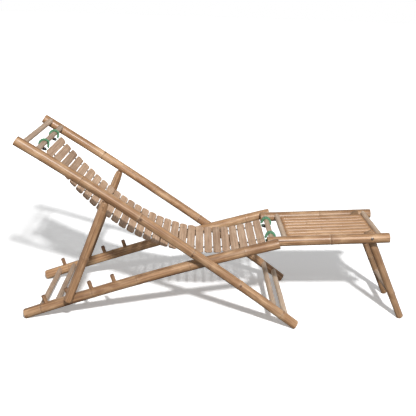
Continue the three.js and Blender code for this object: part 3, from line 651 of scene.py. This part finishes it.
POLE = bamboo("pole bamboo", (0.255, 0.142, 0.077), (0.45, 0.265, 0.144), (0.61, 0.41, 0.25),
              (0.050, 0.022, 0.012), (0.58, 0.46, 0.33), (0.30, 0.18, 0.10), (0.25, 0.125, 0.068),
              streak=0.75)
CANE = bamboo("cane bamboo", (0.35, 0.195, 0.101), (0.48, 0.281, 0.150), (0.56, 0.36, 0.215),
              (0.06, 0.03, 0.015), (0.55, 0.41, 0.27), (0.27, 0.15, 0.08), (0.32, 0.17, 0.087), streak=0.35,
              fibre=0.4, worn=0.2)
RUNG = bamboo("rung bamboo", (0.46, 0.325, 0.226), (0.58, 0.43, 0.315), (0.69, 0.555, 0.44),
              (0.11, 0.060, 0.038), (0.72, 0.60, 0.48), (0.38, 0.26, 0.16), (0.40, 0.25, 0.16), gloss=0.5,
              coat=0.05)
LEG = bamboo("leg bamboo", (0.23, 0.125, 0.066), (0.37, 0.22, 0.12), (0.50, 0.33, 0.20),
             (0.04, 0.02, 0.012), (0.60, 0.46, 0.32), (0.32, 0.20, 0.11), (0.24, 0.12, 0.06))
SLAT = bamboo("slat bamboo", (0.49, 0.318, 0.210), (0.62, 0.43, 0.298), (0.73, 0.55, 0.41),
              (0.14, 0.075, 0.048), (0.72, 0.58, 0.45), (0.30, 0.18, 0.11), (0.44, 0.27, 0.17), gloss=0.52,
              coat=0.0, streak=0.6, fibre=0.7, fine=0.8)
PEG = plain_wood("peg wood", (0.21, 0.115, 0.059), (0.40, 0.237, 0.133), (0.20, 0.105, 0.058))
DOWEL = plain_wood("dowel wood", (0.30, 0.165, 0.085), (0.45, 0.27, 0.15), (0.30, 0.17, 0.09))
TONGUE = tongue_wood("tongue wood")
METAL = metal("pin metal")
ROPE = rope_green("green cord")
RUBBER = black_rubber("black sleeve", (0.012, 0.012, 0.012), (0.035, 0.034, 0.033))
BEAD = black_rubber("dark bead", (0.012, 0.016, 0.010), (0.035, 0.042, 0.026))


# Base, back and footrest poles
def flat_inside(side):
    """Whittles a leg's head flat on its inner face, with a short run-out below."""

    def shape(s, sideways, up):
        run = eased(LEG_HEAD + LEG_TONGUE, LEG_HEAD + LEG_TONGUE + 0.012, s)
        limit = SIDE_GAP - (LEG_RADIUS + 0.001 + SIDE_GAP) * run
        inward = sideways * side
        whittled = np.where(inward < limit, 0.7, 0.0)
        return side * np.maximum(inward, limit), up, whittled

    return shape


def make_pole(label, name, tone, line, y, radius, body, material=POLE, **details):
    skin = Skin(tone)
    culm(skin, line.place(y), line.length, radius, **details)
    skin.build(f"{label}_{name}_culm", material, body, f"{label}_{name}")


for label, side in SIDES:
    near = side < 0
    make_pole(label, "rail", -0.06 if near else 0.4, rail, side * RAIL_HALF_SPREAD, RAIL_RADIUS, "base",
              nodes=RAIL_NODES[label], floor=True, ridge=0.0009,
              eyes=((RAIL_NODES[label][1] + 0.006, -1.2 if near else 2.2, 0.0032),),
              marking=(1.0, 1.0, 0.4, 0.4, 0.4) if near else 0.45)
    make_pole(label, "back_pole", 0.1 if near else 0.08, back, side * BACK_Y, BACK_TOP_RADIUS, "back_frame",
              end_radius=BACK_FOOT_RADIUS, nodes=BACK_NODES[label], eyes=BACK_EYES[label], floor=True)
    make_pole(label, "footrest_pole", 0.06 if near else -0.12, foot, side * FOOT_Y, FOOT_RADIUS, "footrest",
              nodes=(FOOT_NODE[label],), eyes=((FOOT_NODE[label] + 0.01, 2.0, 0.003),))
    make_pole(label, "leg", 0.02 if near else -0.24, leg, side * LEG_Y, LEG_RADIUS, "leg_frame", LEG,
              end_radius=LEG_END_RADIUS, nodes=(LEG_NODE[label],), ends=("plain", "open"),
              shape=flat_inside(side), floor=True, step=0.012)

# Props: a rounded fork of two cheeks, then the whole culm
FORK_HALF = TONGUE_THICKNESS / 2 + FORK_GAP
FORK_END = PROP_HEAD_RADIUS + FORK_DEPTH


def cheek_shape(cheek, s, sideways, up):
    """Whittles one cheek out of the round, with a rounded head."""
    inward = sideways * cheek
    head = np.sqrt(np.clip(PROP_HEAD_RADIUS ** 2 - (s - PROP_HEAD_RADIUS) ** 2, 0, None))
    wider = (PROP_RADIUS - PROP_HEAD_RADIUS) * eased(PROP_HEAD_RADIUS, PROP_HEAD_RADIUS + 0.016, s)
    reach = np.where(s < PROP_HEAD_RADIUS, head, PROP_HEAD_RADIUS + wider)
    reach = np.minimum(reach, math.sqrt(PROP_RADIUS ** 2 - FORK_HALF ** 2))
    cut = np.where((inward < FORK_HALF) | (np.abs(up) > reach), 0.45, 0.0)
    inward = np.maximum(inward, FORK_HALF)
    edge = 0.0016 * (1 - eased(0.0, 0.004, s)) * (inward > 0.012)
    return cheek * (inward - edge), np.clip(up, -reach, reach), cut


for label, side in SIDES:
    skin = Skin(-0.02 if side < 0 else -0.06)
    place = prop.place(side * BACK_Y)
    seed = next(seeds)
    steps = [PROP_HEAD_RADIUS * (1 - math.cos(math.pi / 2 * i / 9)) for i in range(10)]
    steps += [PROP_HEAD_RADIUS + FORK_DEPTH * i / 8 for i in range(1, 9)]
    turn = (TURN * (np.arange(40) + 0.5) / 40)[None, :]
    s = np.array(steps)[:, None] * np.ones_like(turn)
    r = PROP_RADIUS + 0.0002 * wobble(s, turn, seed)
    sideways, up = r * np.cos(turn), r * np.sin(turn)
    for cheek in (-1, 1):
        *whittled, cut = cheek_shape(cheek, s, sideways, up)
        skin.add(place(s, *whittled), grain_at(sideways, up, s, seed), cut=cut)
    culm_length = prop.length - FORK_END
    node = (PROP_NODE[label] * prop.length - FORK_END) / culm_length

    def below_fork(s, sideways, up, place=place):
        return place(s + FORK_END, sideways, up)

    culm(skin, below_fork, culm_length, PROP_RADIUS, nodes=(node,), ends=("plain", "round"), seed=seed,
         eyes=((1 - 0.030 / culm_length, (side - 1) * math.pi / 2, 0.0022),), marking=0.5)
    skin.build(f"{label}_prop_culm", POLE, "prop_frame", f"{label}_prop")


# Rungs
def rung_half(pole_y, pole_radius):
    return pole_y - pole_radius + TENON_DEPTH - SEAT_GAP


def make_rung(name, point, half, nodes, body, tone, radius=RUNG_RADIUS, material=RUNG):
    skin = Skin(tone)
    culm(skin, across(*point, half), 2 * half, radius, nodes=nodes, ridge=RUNG_RIDGE,
         ends=("plain", "plain"), sides=28, uneven=0.0002, groove=0.0005)
    skin.build(name + "_culm", material, body, name)


rail_half = rung_half(RAIL_HALF_SPREAD, RAIL_RADIUS)
back_half = rung_half(BACK_Y, BACK_TOP_RADIUS)
foot_half = rung_half(FOOT_Y, FOOT_RADIUS)
rear, second = (rail.at(place, REAR_RUNG_LIFT) for place in REAR_RUNG_PLACES)
upper, lower = (back.at(back.length - inset, LOWER_RUNG_LIFT) for inset in LOWER_RUNG_INSETS)
inner, outer = (foot.at(place, FOOT_RUNG_LIFT) for place in foot_rung_places)
make_rung("rear_base_rung", rear, rail_half, (0.55,), "base", -0.06)
make_rung("second_base_rung", second, rail_half, (0.4,), "base", -0.22)
make_rung("front_mat_rung", front_rung, rail_half, (0.52,), "base", 0.3, MAT_RUNG_RADIUS)
make_rung("top_rung", back.at(TOP_RUNG_PLACE, TOP_RUNG_LIFT), back_half, (0.38, 0.7), "back_frame", 0.05)
make_rung("mat_rung", mat_top, back_half, (0.55,), "back_frame", -0.14, MAT_RUNG_RADIUS)
make_rung("upper_front_rung", upper, back_half, (0.6,), "back_frame", 0.2)
make_rung("lower_front_rung", lower, back_half, (0.42,), "back_frame", 0.4)
make_rung("prop_rung", prop_rung_point, rung_half(BACK_Y, PROP_RADIUS), (0.45,), "prop_frame", -0.2,
          PROP_RUNG_RADIUS, LEG)
make_rung("inner_footrest_rung", inner, foot_half, (0.5,), "footrest", 0.14)
make_rung("outer_footrest_rung", outer, foot_half, (0.5,), "footrest", 0.14)
make_rung("leg_rung", leg.at(LEG_HEAD + LEG_RUNG_PLACE), rung_half(LEG_Y, LEG_RADIUS), (0.5,), "leg_frame",
          -0.1, LEG_RUNG_RADIUS)

# Canes, thinner at both ends where they are let into the rungs
cane_outer = LEG_FACE_Y - CANE_SIDE_GAP - RUNG_RIDGE - CANE_RADIUS
cane_pitch = 2 * cane_outer / (CANE_COUNT - 1)
cane_start = foot_rung_places[0] + RUNG_RADIUS - CANE_TENON_LENGTH
cane_length = foot_rung_places[1] - RUNG_RADIUS + CANE_TENON_LENGTH - cane_start
neck_start = CANE_TENON_LENGTH + SEAT_GAP
neck_end = neck_start + CANE_NECK_LENGTH


def cane_shape(s, sideways, up):
    from_end = np.minimum(s, cane_length - s)
    full = eased(neck_start, neck_end + 0.002, from_end)
    tenon = CANE_TENON_RADIUS / CANE_RADIUS
    neck = CANE_NECK_RADIUS / CANE_RADIUS
    share = np.where(from_end < neck_start, tenon, neck + (1 - neck) * full)
    return sideways * share, up * share, np.where(from_end < neck_end, 0.35, 0.0)


for i in range(CANE_COUNT):
    skin = Skin(CANE_TONES[i])

    def put(s, sideways, up, place=foot.place(cane_pitch * i - cane_outer)):
        return place(cane_start + s, sideways, CANE_LIFT + up)

    culm(skin, put, cane_length, CANE_RADIUS, nodes=(CANE_NODES[i],), ridge=RUNG_RIDGE,
         ends=("plain", "plain"), sides=26, step=0.006, shape=cane_shape, uneven=0.00018, groove=0.0005,
         marking=0.6)
    skin.build(f"footrest_cane_{i + 1}_culm", CANE, "footrest", f"footrest_cane_{i + 1}")

# Pegs
for label, side in SIDES:
    for i in range(PEG_COUNT):
        skin = Skin()
        length = PEG_SEAT + PEG_HEIGHT
        seed = next(seeds)
        lean = 0.0004 * math.sin(2.3 * seed)
        # The prop rung rests against the second peg, so that one keeps a neck as thin as its solid
        head = PEG_HEAD_RADIUS
        neck = PEG_RADIUS if i == 1 else head - 0.0003
        rows = [(0.0, 0.006), (0.0006, 0.0079), (0.003, PEG_RADIUS), (0.02, neck), (0.033, neck),
                (0.039, head - 0.0002), (0.044, head), (length - 0.0016, head - 0.0002),
                (length - 0.0006, head - 0.0008), (length - 0.0001, head - 0.0020),
                (length - 0.0004, 0.004), (length - 0.0007, 0.0016)]
        cuts = [1, 1, 0, 0, 0, 0.1, 0.25, 0.6, 1, 1, 1, 1]

        def put(s, sideways, up, at=peg_places[i], y=side * RAIL_HALF_SPREAD, lean=lean):
            x, z = rail.at(at, RAIL_RADIUS - PEG_SEAT + s)
            tilt_x, tilt_z = up * math.cos(RAIL_ANGLE), up * math.sin(RAIL_ANGLE)
            return np.stack([x + tilt_x, y + sideways + lean * (s > 0.03), z + tilt_z], -1)

        lathe(skin, put, rows, cuts=cuts, seed=seed)
        skin.build(f"{label}_peg_{i + 1}_turned", PEG, "base", f"{label}_peg_{i + 1}")


# Pins with domed heads
def make_pin(name, point, side, outer_y, inner_y, body, material=DOWEL):
    shank = outer_y - inner_y + SEAT_GAP
    rows = [(0.0, PIN_RADIUS - 0.0005), (0.0004, PIN_RADIUS), (shank, PIN_RADIUS),
            (shank, PIN_HEAD_RADIUS - 0.0003), (shank + 0.0004, PIN_HEAD_RADIUS)]
    for i in range(1, 7):
        angle = math.pi / 2 * i / 6.5
        rise = 0.0006 + (PIN_HEAD_THICKNESS - 0.0006) * math.sin(angle)
        rows.append((shank + rise, PIN_HEAD_RADIUS * math.cos(angle)))
    skin = Skin()

    def put(s, sideways, up):
        return np.stack([point[0] + sideways, side * (inner_y + s), point[1] + up], -1)

    lathe(skin, put, rows)
    skin.build(name + "_domed", material, body, name)


for label, side in SIDES:
    make_pin(f"{label}_crossing_pin", crossing, side, BACK_Y + BACK_TOP_RADIUS,
             RAIL_HALF_SPREAD - RAIL_RADIUS, "base")
    make_pin(f"{label}_prop_pin", prop_hinge, side, BACK_Y + PROP_RADIUS, BACK_Y - PROP_HEAD_RADIUS,
             "prop_frame")
    make_pin(f"{label}_leg_pin", leg_pivot, side, FOOT_Y + FOOT_RADIUS, LEG_FACE_Y + SEAT_GAP, "footrest",
             METAL)
    tongue = frame["nodes"][f"{label}_prop_tongue"]
    tongue.data.materials.clear()
    tongue.data.materials.append(TONGUE)

# Mat: split bamboo slats, crowned above, with rounded corners and worn edges
MAT_BODIES = ["mat_back"] * 4 + ["mat_seat", "mat_lap", "mat_knee"]
BEAD_HALF_SPREAD = SLAT_HALF * BEAD_SPREAD_SHARE


def rounded(distance, radius, least):
    """Share of the full height at a distance from a rounded edge."""
    return np.sqrt(np.clip(1 - (1 - np.clip(distance / radius, 0, 1)) ** 2, least, 1))


def make_slat(k):
    seed = next(seeds)
    section = k // SLATS_PER_SECTION
    tone = 0.04 + 0.05 * (0.3 * math.sin(2.1 * k) + 0.7 * math.sin(5.3 * k + 1))
    if k in DARK_SLATS:
        tone -= 0.14
    # Painted shade: the slats of the first section, at the top of the back, are made darker to stand for
    # the lesser light that falls there
    if section == 0:
        tone -= 0.12
    half = SLAT_HALF - 0.0004 - 0.0006 * (math.sin(7.7 * k) + 1)
    stations = [0.0, 0.0003, 0.0008, 0.0016, 0.0028, 0.0045, 0.0065, 0.0085, 0.0105, 0.0125, 0.015, 0.02]
    middle = np.linspace(0.03, 2 * half - 0.03, 22).tolist()
    along = np.array(stations + middle + [2 * half - e for e in stations[::-1]])[:, None]
    from_end = np.minimum(along, 2 * half - along)
    corner = np.clip(1 - np.sqrt(np.clip(from_end, 0, SLAT_CORNER) / SLAT_CORNER), 0, 1)
    width = np.maximum(SLAT_WIDTH / 2 * (1 - corner ** 2), 0.0006)
    right = [0.25, 0.5, 0.7, 0.85, 0.94, 0.985, 1.0]
    across_top = np.array([-v for v in right[::-1]] + [0.0] + right)
    u = np.concatenate([across_top, across_top[::-1]])[None, :]
    top = np.repeat([True, False], len(across_top))[None, :]
    edge = (1 - np.abs(u)) * width
    y = along - half
    crown = np.where(top, 1 - 0.16 * u ** 2, -(1 - 0.10 * (1 - u ** 2)))
    rough_edge = 0.0003 * np.sin(60 * y + 3 * k) + 0.0002 * np.sin(170 * y + k)
    up = SLAT_THICKNESS / 2 * crown * rounded(from_end, 0.0022, 0.12) * rounded(edge, 0.0020, 0.05)
    up += 0.00012 * np.sin(40 * y + k) * (1 - np.abs(crown))
    x = u * (width + rough_edge * np.abs(u) * (from_end > 0.02) - 0.0003)
    y = np.broadcast_to(y, x.shape)
    rim = 0.45 * np.maximum(1 - edge / 0.0016, 0)
    tips = 0.4 * np.maximum(1 - from_end / 0.0035, 0)
    cut = np.maximum(np.maximum(rim, tips), np.where(top, 0.0, 0.2))
    knot = (0.5 + 0.37 * math.sin(3.9 * k)) * 2 * half
    d = along - knot + 0.0012 * np.sin(5 * u + k)
    mark = 0.0 if k % 3 == 1 else 0.5
    skin = Skin(tone)
    put = mat_place(MAT_LEAD + slat_pitch * (k + 0.5), math.radians(0.25) * math.sin(4.1 * k))
    skin.add(put(x, y, up), grain_at(x, up, y, seed), cut=cut, scar=mark * hump(d, 0.0016),
             band=mark * hump(d - 0.007, 0.005))
    skin.build(f"slat_{k + 1}", SLAT, MAT_BODIES[section], f"mat_section_{section + 1}",
               sharp=50)


def make_beads(section):
    """The two beads in the gap after each slat of a section. There are none after the last slat."""
    skin = Skin()
    first = section * SLATS_PER_SECTION
    end = first + SLATS_PER_SECTION
    for k in range(first, min(end, SLAT_COUNT - 1)):
        flat = mat_place(MAT_LEAD + slat_pitch * (k + 1))
        reach_back = SLAT_GAP / 2 + BEAD_SEAT
        reach_on = SLAT_GAP / 2 - HINGE_GAP if k == end - 1 else reach_back
        rows = []
        for i in range(9):
            angle = math.pi * (i / 8 - 0.5)
            share = math.sin(angle)
            along = share * (reach_on if share > 0 else reach_back)
            rows.append((along, BEAD_RADIUS * (0.65 + 0.4 * math.cos(angle))))
        for side in (-1, 1):

            def put(s, sideways, up, flat=flat, y=side * BEAD_HALF_SPREAD):
                return flat(s, y + sideways, up)

            lathe(skin, put, rows, sides=14)
    skin.build(f"beads_{section + 1}", BEAD, MAT_BODIES[section],
               f"mat_section_{section + 1}")


for k in range(SLAT_COUNT):
    make_slat(k)
for section in range(SLAT_COUNT // SLATS_PER_SECTION):
    make_beads(section)


# Cord loops: a three-strand rope round the rung and back under it, with its black sleeve. The front
# loops are wound twice
def smooth_path(points, count):
    """Places on the centripetal curve through the points, evenly shared between them."""
    pts = [np.array(p, float) for p in points]
    pts = [2 * pts[0] - pts[1]] + pts + [2 * pts[-1] - pts[-2]]
    spans = len(points) - 1
    out = []
    for n in range(count + 1):
        t = n / count * spans
        i = min(int(t), spans - 1)
        w = t - i
        p0, p1, p2, p3 = pts[i:i + 4]
        d0, d1, d2 = (max(np.linalg.norm(b - a) ** 0.5, 1e-6) for a, b in ((p0, p1), (p1, p2), (p2, p3)))
        t1 = ((p1 - p0) / d0 - (p2 - p0) / (d0 + d1) + (p2 - p1) / d1) * d1
        t2 = ((p2 - p1) / d1 - (p3 - p1) / (d1 + d2) + (p3 - p2) / d2) * d1
        square = 3 * (p2 - p1) - 2 * t1 - t2
        cube = 2 * (p1 - p2) + t1 + t2
        out.append(p1 + t1 * w + square * w ** 2 + cube * w ** 3)
    return np.array(out)


def loop_points(centre, towards, up, edge, start_y):
    """Places from the mat round the rung and back. The sleeve goes between two of the last four."""
    ring = MAT_RUNG_RADIUS + CORD_RADIUS + 2 * SEAT_GAP
    reach = edge - LOOP_STRAIGHT
    tangent = math.acos(ring / reach)

    def spot(along, rise, y):
        x, z = (centre[i] + towards[i] * along + up[i] * rise for i in range(2))
        return x, y, z

    step = SLAT_HALF * LOOP_STEP_SHARE
    points = [spot(edge, 0, start_y), spot(reach, 0, start_y)]
    for i in range(LOOP_TURN_STEPS + 1):
        share = i / LOOP_TURN_STEPS
        angle = tangent + 2 * (math.pi - tangent) * share
        points.append(spot(ring * math.cos(angle), ring * math.sin(angle), start_y - step * share))
    start, end = np.array(points[-1]), np.array(spot(reach, 0, start_y - step))
    points += [tuple(start + (end - start) * share) for share in SLEEVED_SHARES]
    points += [tuple(end), spot(edge, 0, start_y - step)]
    return points


def make_cord(label, end, start_y, body):
    top = end == "top"
    gap = SLAT_GAP / 2 - HINGE_GAP
    x, z, _ = on_mat(MAT_LEAD + gap if top else mat_length - MAT_TAIL - gap)
    centre = mat_top if top else front_rung
    edge = math.dist((x, z), centre)
    towards = ((x - centre[0]) / edge, (z - centre[1]) / edge)
    up = (-towards[1], towards[0]) if top else (towards[1], -towards[0])
    places = loop_points(centre, towards, up, edge, start_y)
    make_rope(f"{label}_{end}", places, 1 if top else 2, body)
    make_sleeve(f"{label}_{end}", *np.array(places[-4:-2]), body)


def make_rope(name, places, windings, body):
    """Three strands round the path through the places."""
    path = smooth_path(places, 150)
    arc = np.concatenate([[0], np.cumsum(np.linalg.norm(np.diff(path, axis=0), axis=1))])
    tangent = np.gradient(path, axis=0)
    tangent /= np.linalg.norm(tangent, axis=1, keepdims=True)
    one = np.array([0.0, 1.0, 0.0]) - tangent * tangent[:, 1:2]
    one /= np.linalg.norm(one, axis=1, keepdims=True)
    two = np.cross(tangent, one)
    slim = (0.42 + 0.58 * eased(0.0, 0.010, np.minimum(arc, arc[-1] - arc)))[:, None]
    skin = Skin()
    seed = next(seeds)
    turn = (TURN * np.arange(12) / 12)[None, :]
    cos, sin = np.cos(turn), np.sin(turn)
    for number in range(3 * windings):
        strand = number % 3
        phase = TURN * (arc / ROPE_LAY + strand / 3)[:, None]
        middle = path + ROPE_RADIUS * 0.42 * slim * (np.cos(phase) * one + np.sin(phase) * two)
        middle[:, 1] += WINDING_STEP * (number // 3)
        ring = cos[..., None] * one[:, None, :] + sin[..., None] * two[:, None, :]
        points = middle[:, None, :] + ROPE_RADIUS * 0.64 * slim[..., None] * ring
        grain = np.stack(np.broadcast_arrays(0.0022 * cos + 0.173 * seed, 0.0022 * sin + 0.091 * strand,
                                             arc[:, None]), -1)
        skin.add(points, grain, shade=np.clip(-0.1 - np.cos(turn - phase), 0, 1))
    skin.build(f"{name}_rope", ROPE, body, f"{name}_cord_loop")


def make_sleeve(name, a, b, body):
    """A tube round the run from a to b."""
    middle, direction = (a + b) / 2, (b - a) / np.linalg.norm(b - a)
    side_way = np.array([0.0, 1.0, 0.0]) - direction * direction[1]
    side_way /= np.linalg.norm(side_way)
    up_way = np.cross(direction, side_way)
    half = SLEEVE_LENGTH / 2 + 0.0015
    bore, outer = SLEEVE_BORE + 0.0006, SLEEVE_RADIUS + 0.0014
    rows = [(-half + 0.0005, bore), (-half, bore + 0.0006), (-half + 0.0004, outer - 0.0002),
            (-half + 0.0012, outer), (half - 0.0012, outer), (half - 0.0004, outer - 0.0002),
            (half, bore + 0.0006), (half - 0.0005, bore)]

    def put(s, sideways, rise):
        return middle + s[..., None] * direction + sideways[..., None] * side_way + rise[..., None] * up_way

    skin = Skin()
    lathe(skin, put, rows, closed=True)
    skin.build(f"{name}_sleeve", RUBBER, body, f"{name}_cord_sleeve")


for label, side in SIDES:
    spread = side * SLAT_HALF * LOOP_SPREAD_SHARE
    make_cord(label, "top", spread, "mat_back")
    make_cord(label, "front", spread, "base")


# Floor, light and camera. The camera's place, angles and focal length come from a fit to the photo
FLOOR_COLOURS = ((1.39, 1.39, 1.39), (1.41, 1.41, 1.41))
LAMP_PLACE = (0.64, -4.9, 4.2)
LAMP_POWER = 1850
LAMP_RADIUS = 0.21
LAMP_DISTANCE = 6.7
CAMERA_PLACE = (-0.12216, -3.189, 1.440)
CAMERA_YAW, CAMERA_ROLL, CAMERA_TILT = map(math.radians, (-1.22, -1.81, 16.67))
FOCAL_LENGTH, PHOTO_WIDTH = 691, 416
SENSOR_WIDTH = 36


def make_floor():
    """A pale floor, brighter than white so that it stays white round the shadows."""
    bpy.ops.mesh.primitive_circle_add(vertices=96, radius=60, fill_type="NGON", location=(0, 0, 0))
    floor = bpy.context.object
    floor.name = "floor"
    g = Graph(materials.new("pale floor"))
    place = g.node("ShaderNodeTexCoord").outputs["Object"]
    colour = g.mix(g.spread(g.noise(place, (3, 3, 3))), *FLOOR_COLOURS)
    # Away from the chair the floor gives off a little light of its own, so that it fades to white
    reach = g.node("ShaderNodeVectorMath", {0: place}, operation="LENGTH").outputs["Value"]
    floor.data.materials.append(g.finish(colour, 0.9, Specular_IOR_Level=0.1, Emission_Color=(1, 1, 1, 1),
                                         Emission_Strength=g.spread(reach, 1.7, 4.0, 0.08)))
    floor.visible_diffuse = floor.visible_glossy = False


def make_world():
    """White, with fill light mostly from the sides, less from above and least from below."""
    world = bpy.data.worlds.new("studio")
    scene.world = world
    g = Graph(world)
    place = g.node("ShaderNodeTexCoord").outputs["Generated"]
    height = g.node("ShaderNodeSeparateXYZ", {0: place}).outputs["Z"]
    sides = g.spread(g.math("ABSOLUTE", height, 0.0), 0.1, 0.7, 0.95, 0.28)
    fill = g.math("MULTIPLY", sides, g.spread(height, -0.5, 0.05, 0.35))
    fill = g.node("ShaderNodeBackground", {"Strength": fill}).outputs[0]
    white = g.node("ShaderNodeBackground", {"Color": (1, 1, 1, 1)}).outputs[0]
    seen = g.node("ShaderNodeLightPath").outputs["Is Camera Ray"]
    mix = g.node("ShaderNodeMixShader", {0: seen, 1: fill, 2: white}).outputs[0]
    g.node("ShaderNodeOutputWorld", {"Surface": mix})


def make_lamp():
    """A lamp that has one strength over the whole floor, as a wide studio light does."""
    lamp = bpy.data.lights.new("soft lamp", "POINT")
    lamp.energy = LAMP_POWER
    lamp.shadow_soft_size = LAMP_RADIUS
    g = Graph(lamp)
    falloff = g.node("ShaderNodeLightFalloff", {"Strength": 1 / LAMP_DISTANCE ** 2}).outputs["Constant"]
    glow = g.node("ShaderNodeEmission", {"Strength": falloff}).outputs[0]
    g.node("ShaderNodeOutputLight", {"Surface": glow})
    add_object("soft lamp", lamp).location = LAMP_PLACE


def make_camera():
    c, s = math.cos(CAMERA_YAW), math.sin(CAMERA_YAW)
    cos_tilt, sin_tilt = math.cos(CAMERA_TILT), math.sin(CAMERA_TILT)
    right = Vector((c, s, 0))
    up = Vector((-s * sin_tilt, c * sin_tilt, cos_tilt))
    ahead = Vector((-s * cos_tilt, c * cos_tilt, -sin_tilt))
    turned_right = right * math.cos(CAMERA_ROLL) - up * math.sin(CAMERA_ROLL)
    turned_up = right * math.sin(CAMERA_ROLL) + up * math.cos(CAMERA_ROLL)
    data = bpy.data.cameras.new("camera")
    data.sensor_width = SENSOR_WIDTH
    data.lens = FOCAL_LENGTH / PHOTO_WIDTH * SENSOR_WIDTH
    camera = add_object("camera", data)
    turn = Matrix((turned_right, turned_up, -ahead)).transposed().to_4x4()
    camera.matrix_world = Matrix.Translation(CAMERA_PLACE) @ turn
    scene.camera = camera


make_floor()
make_world()
make_lamp()
make_camera()
scene.view_settings.view_transform = "Standard"
scene.view_settings.look = "None"
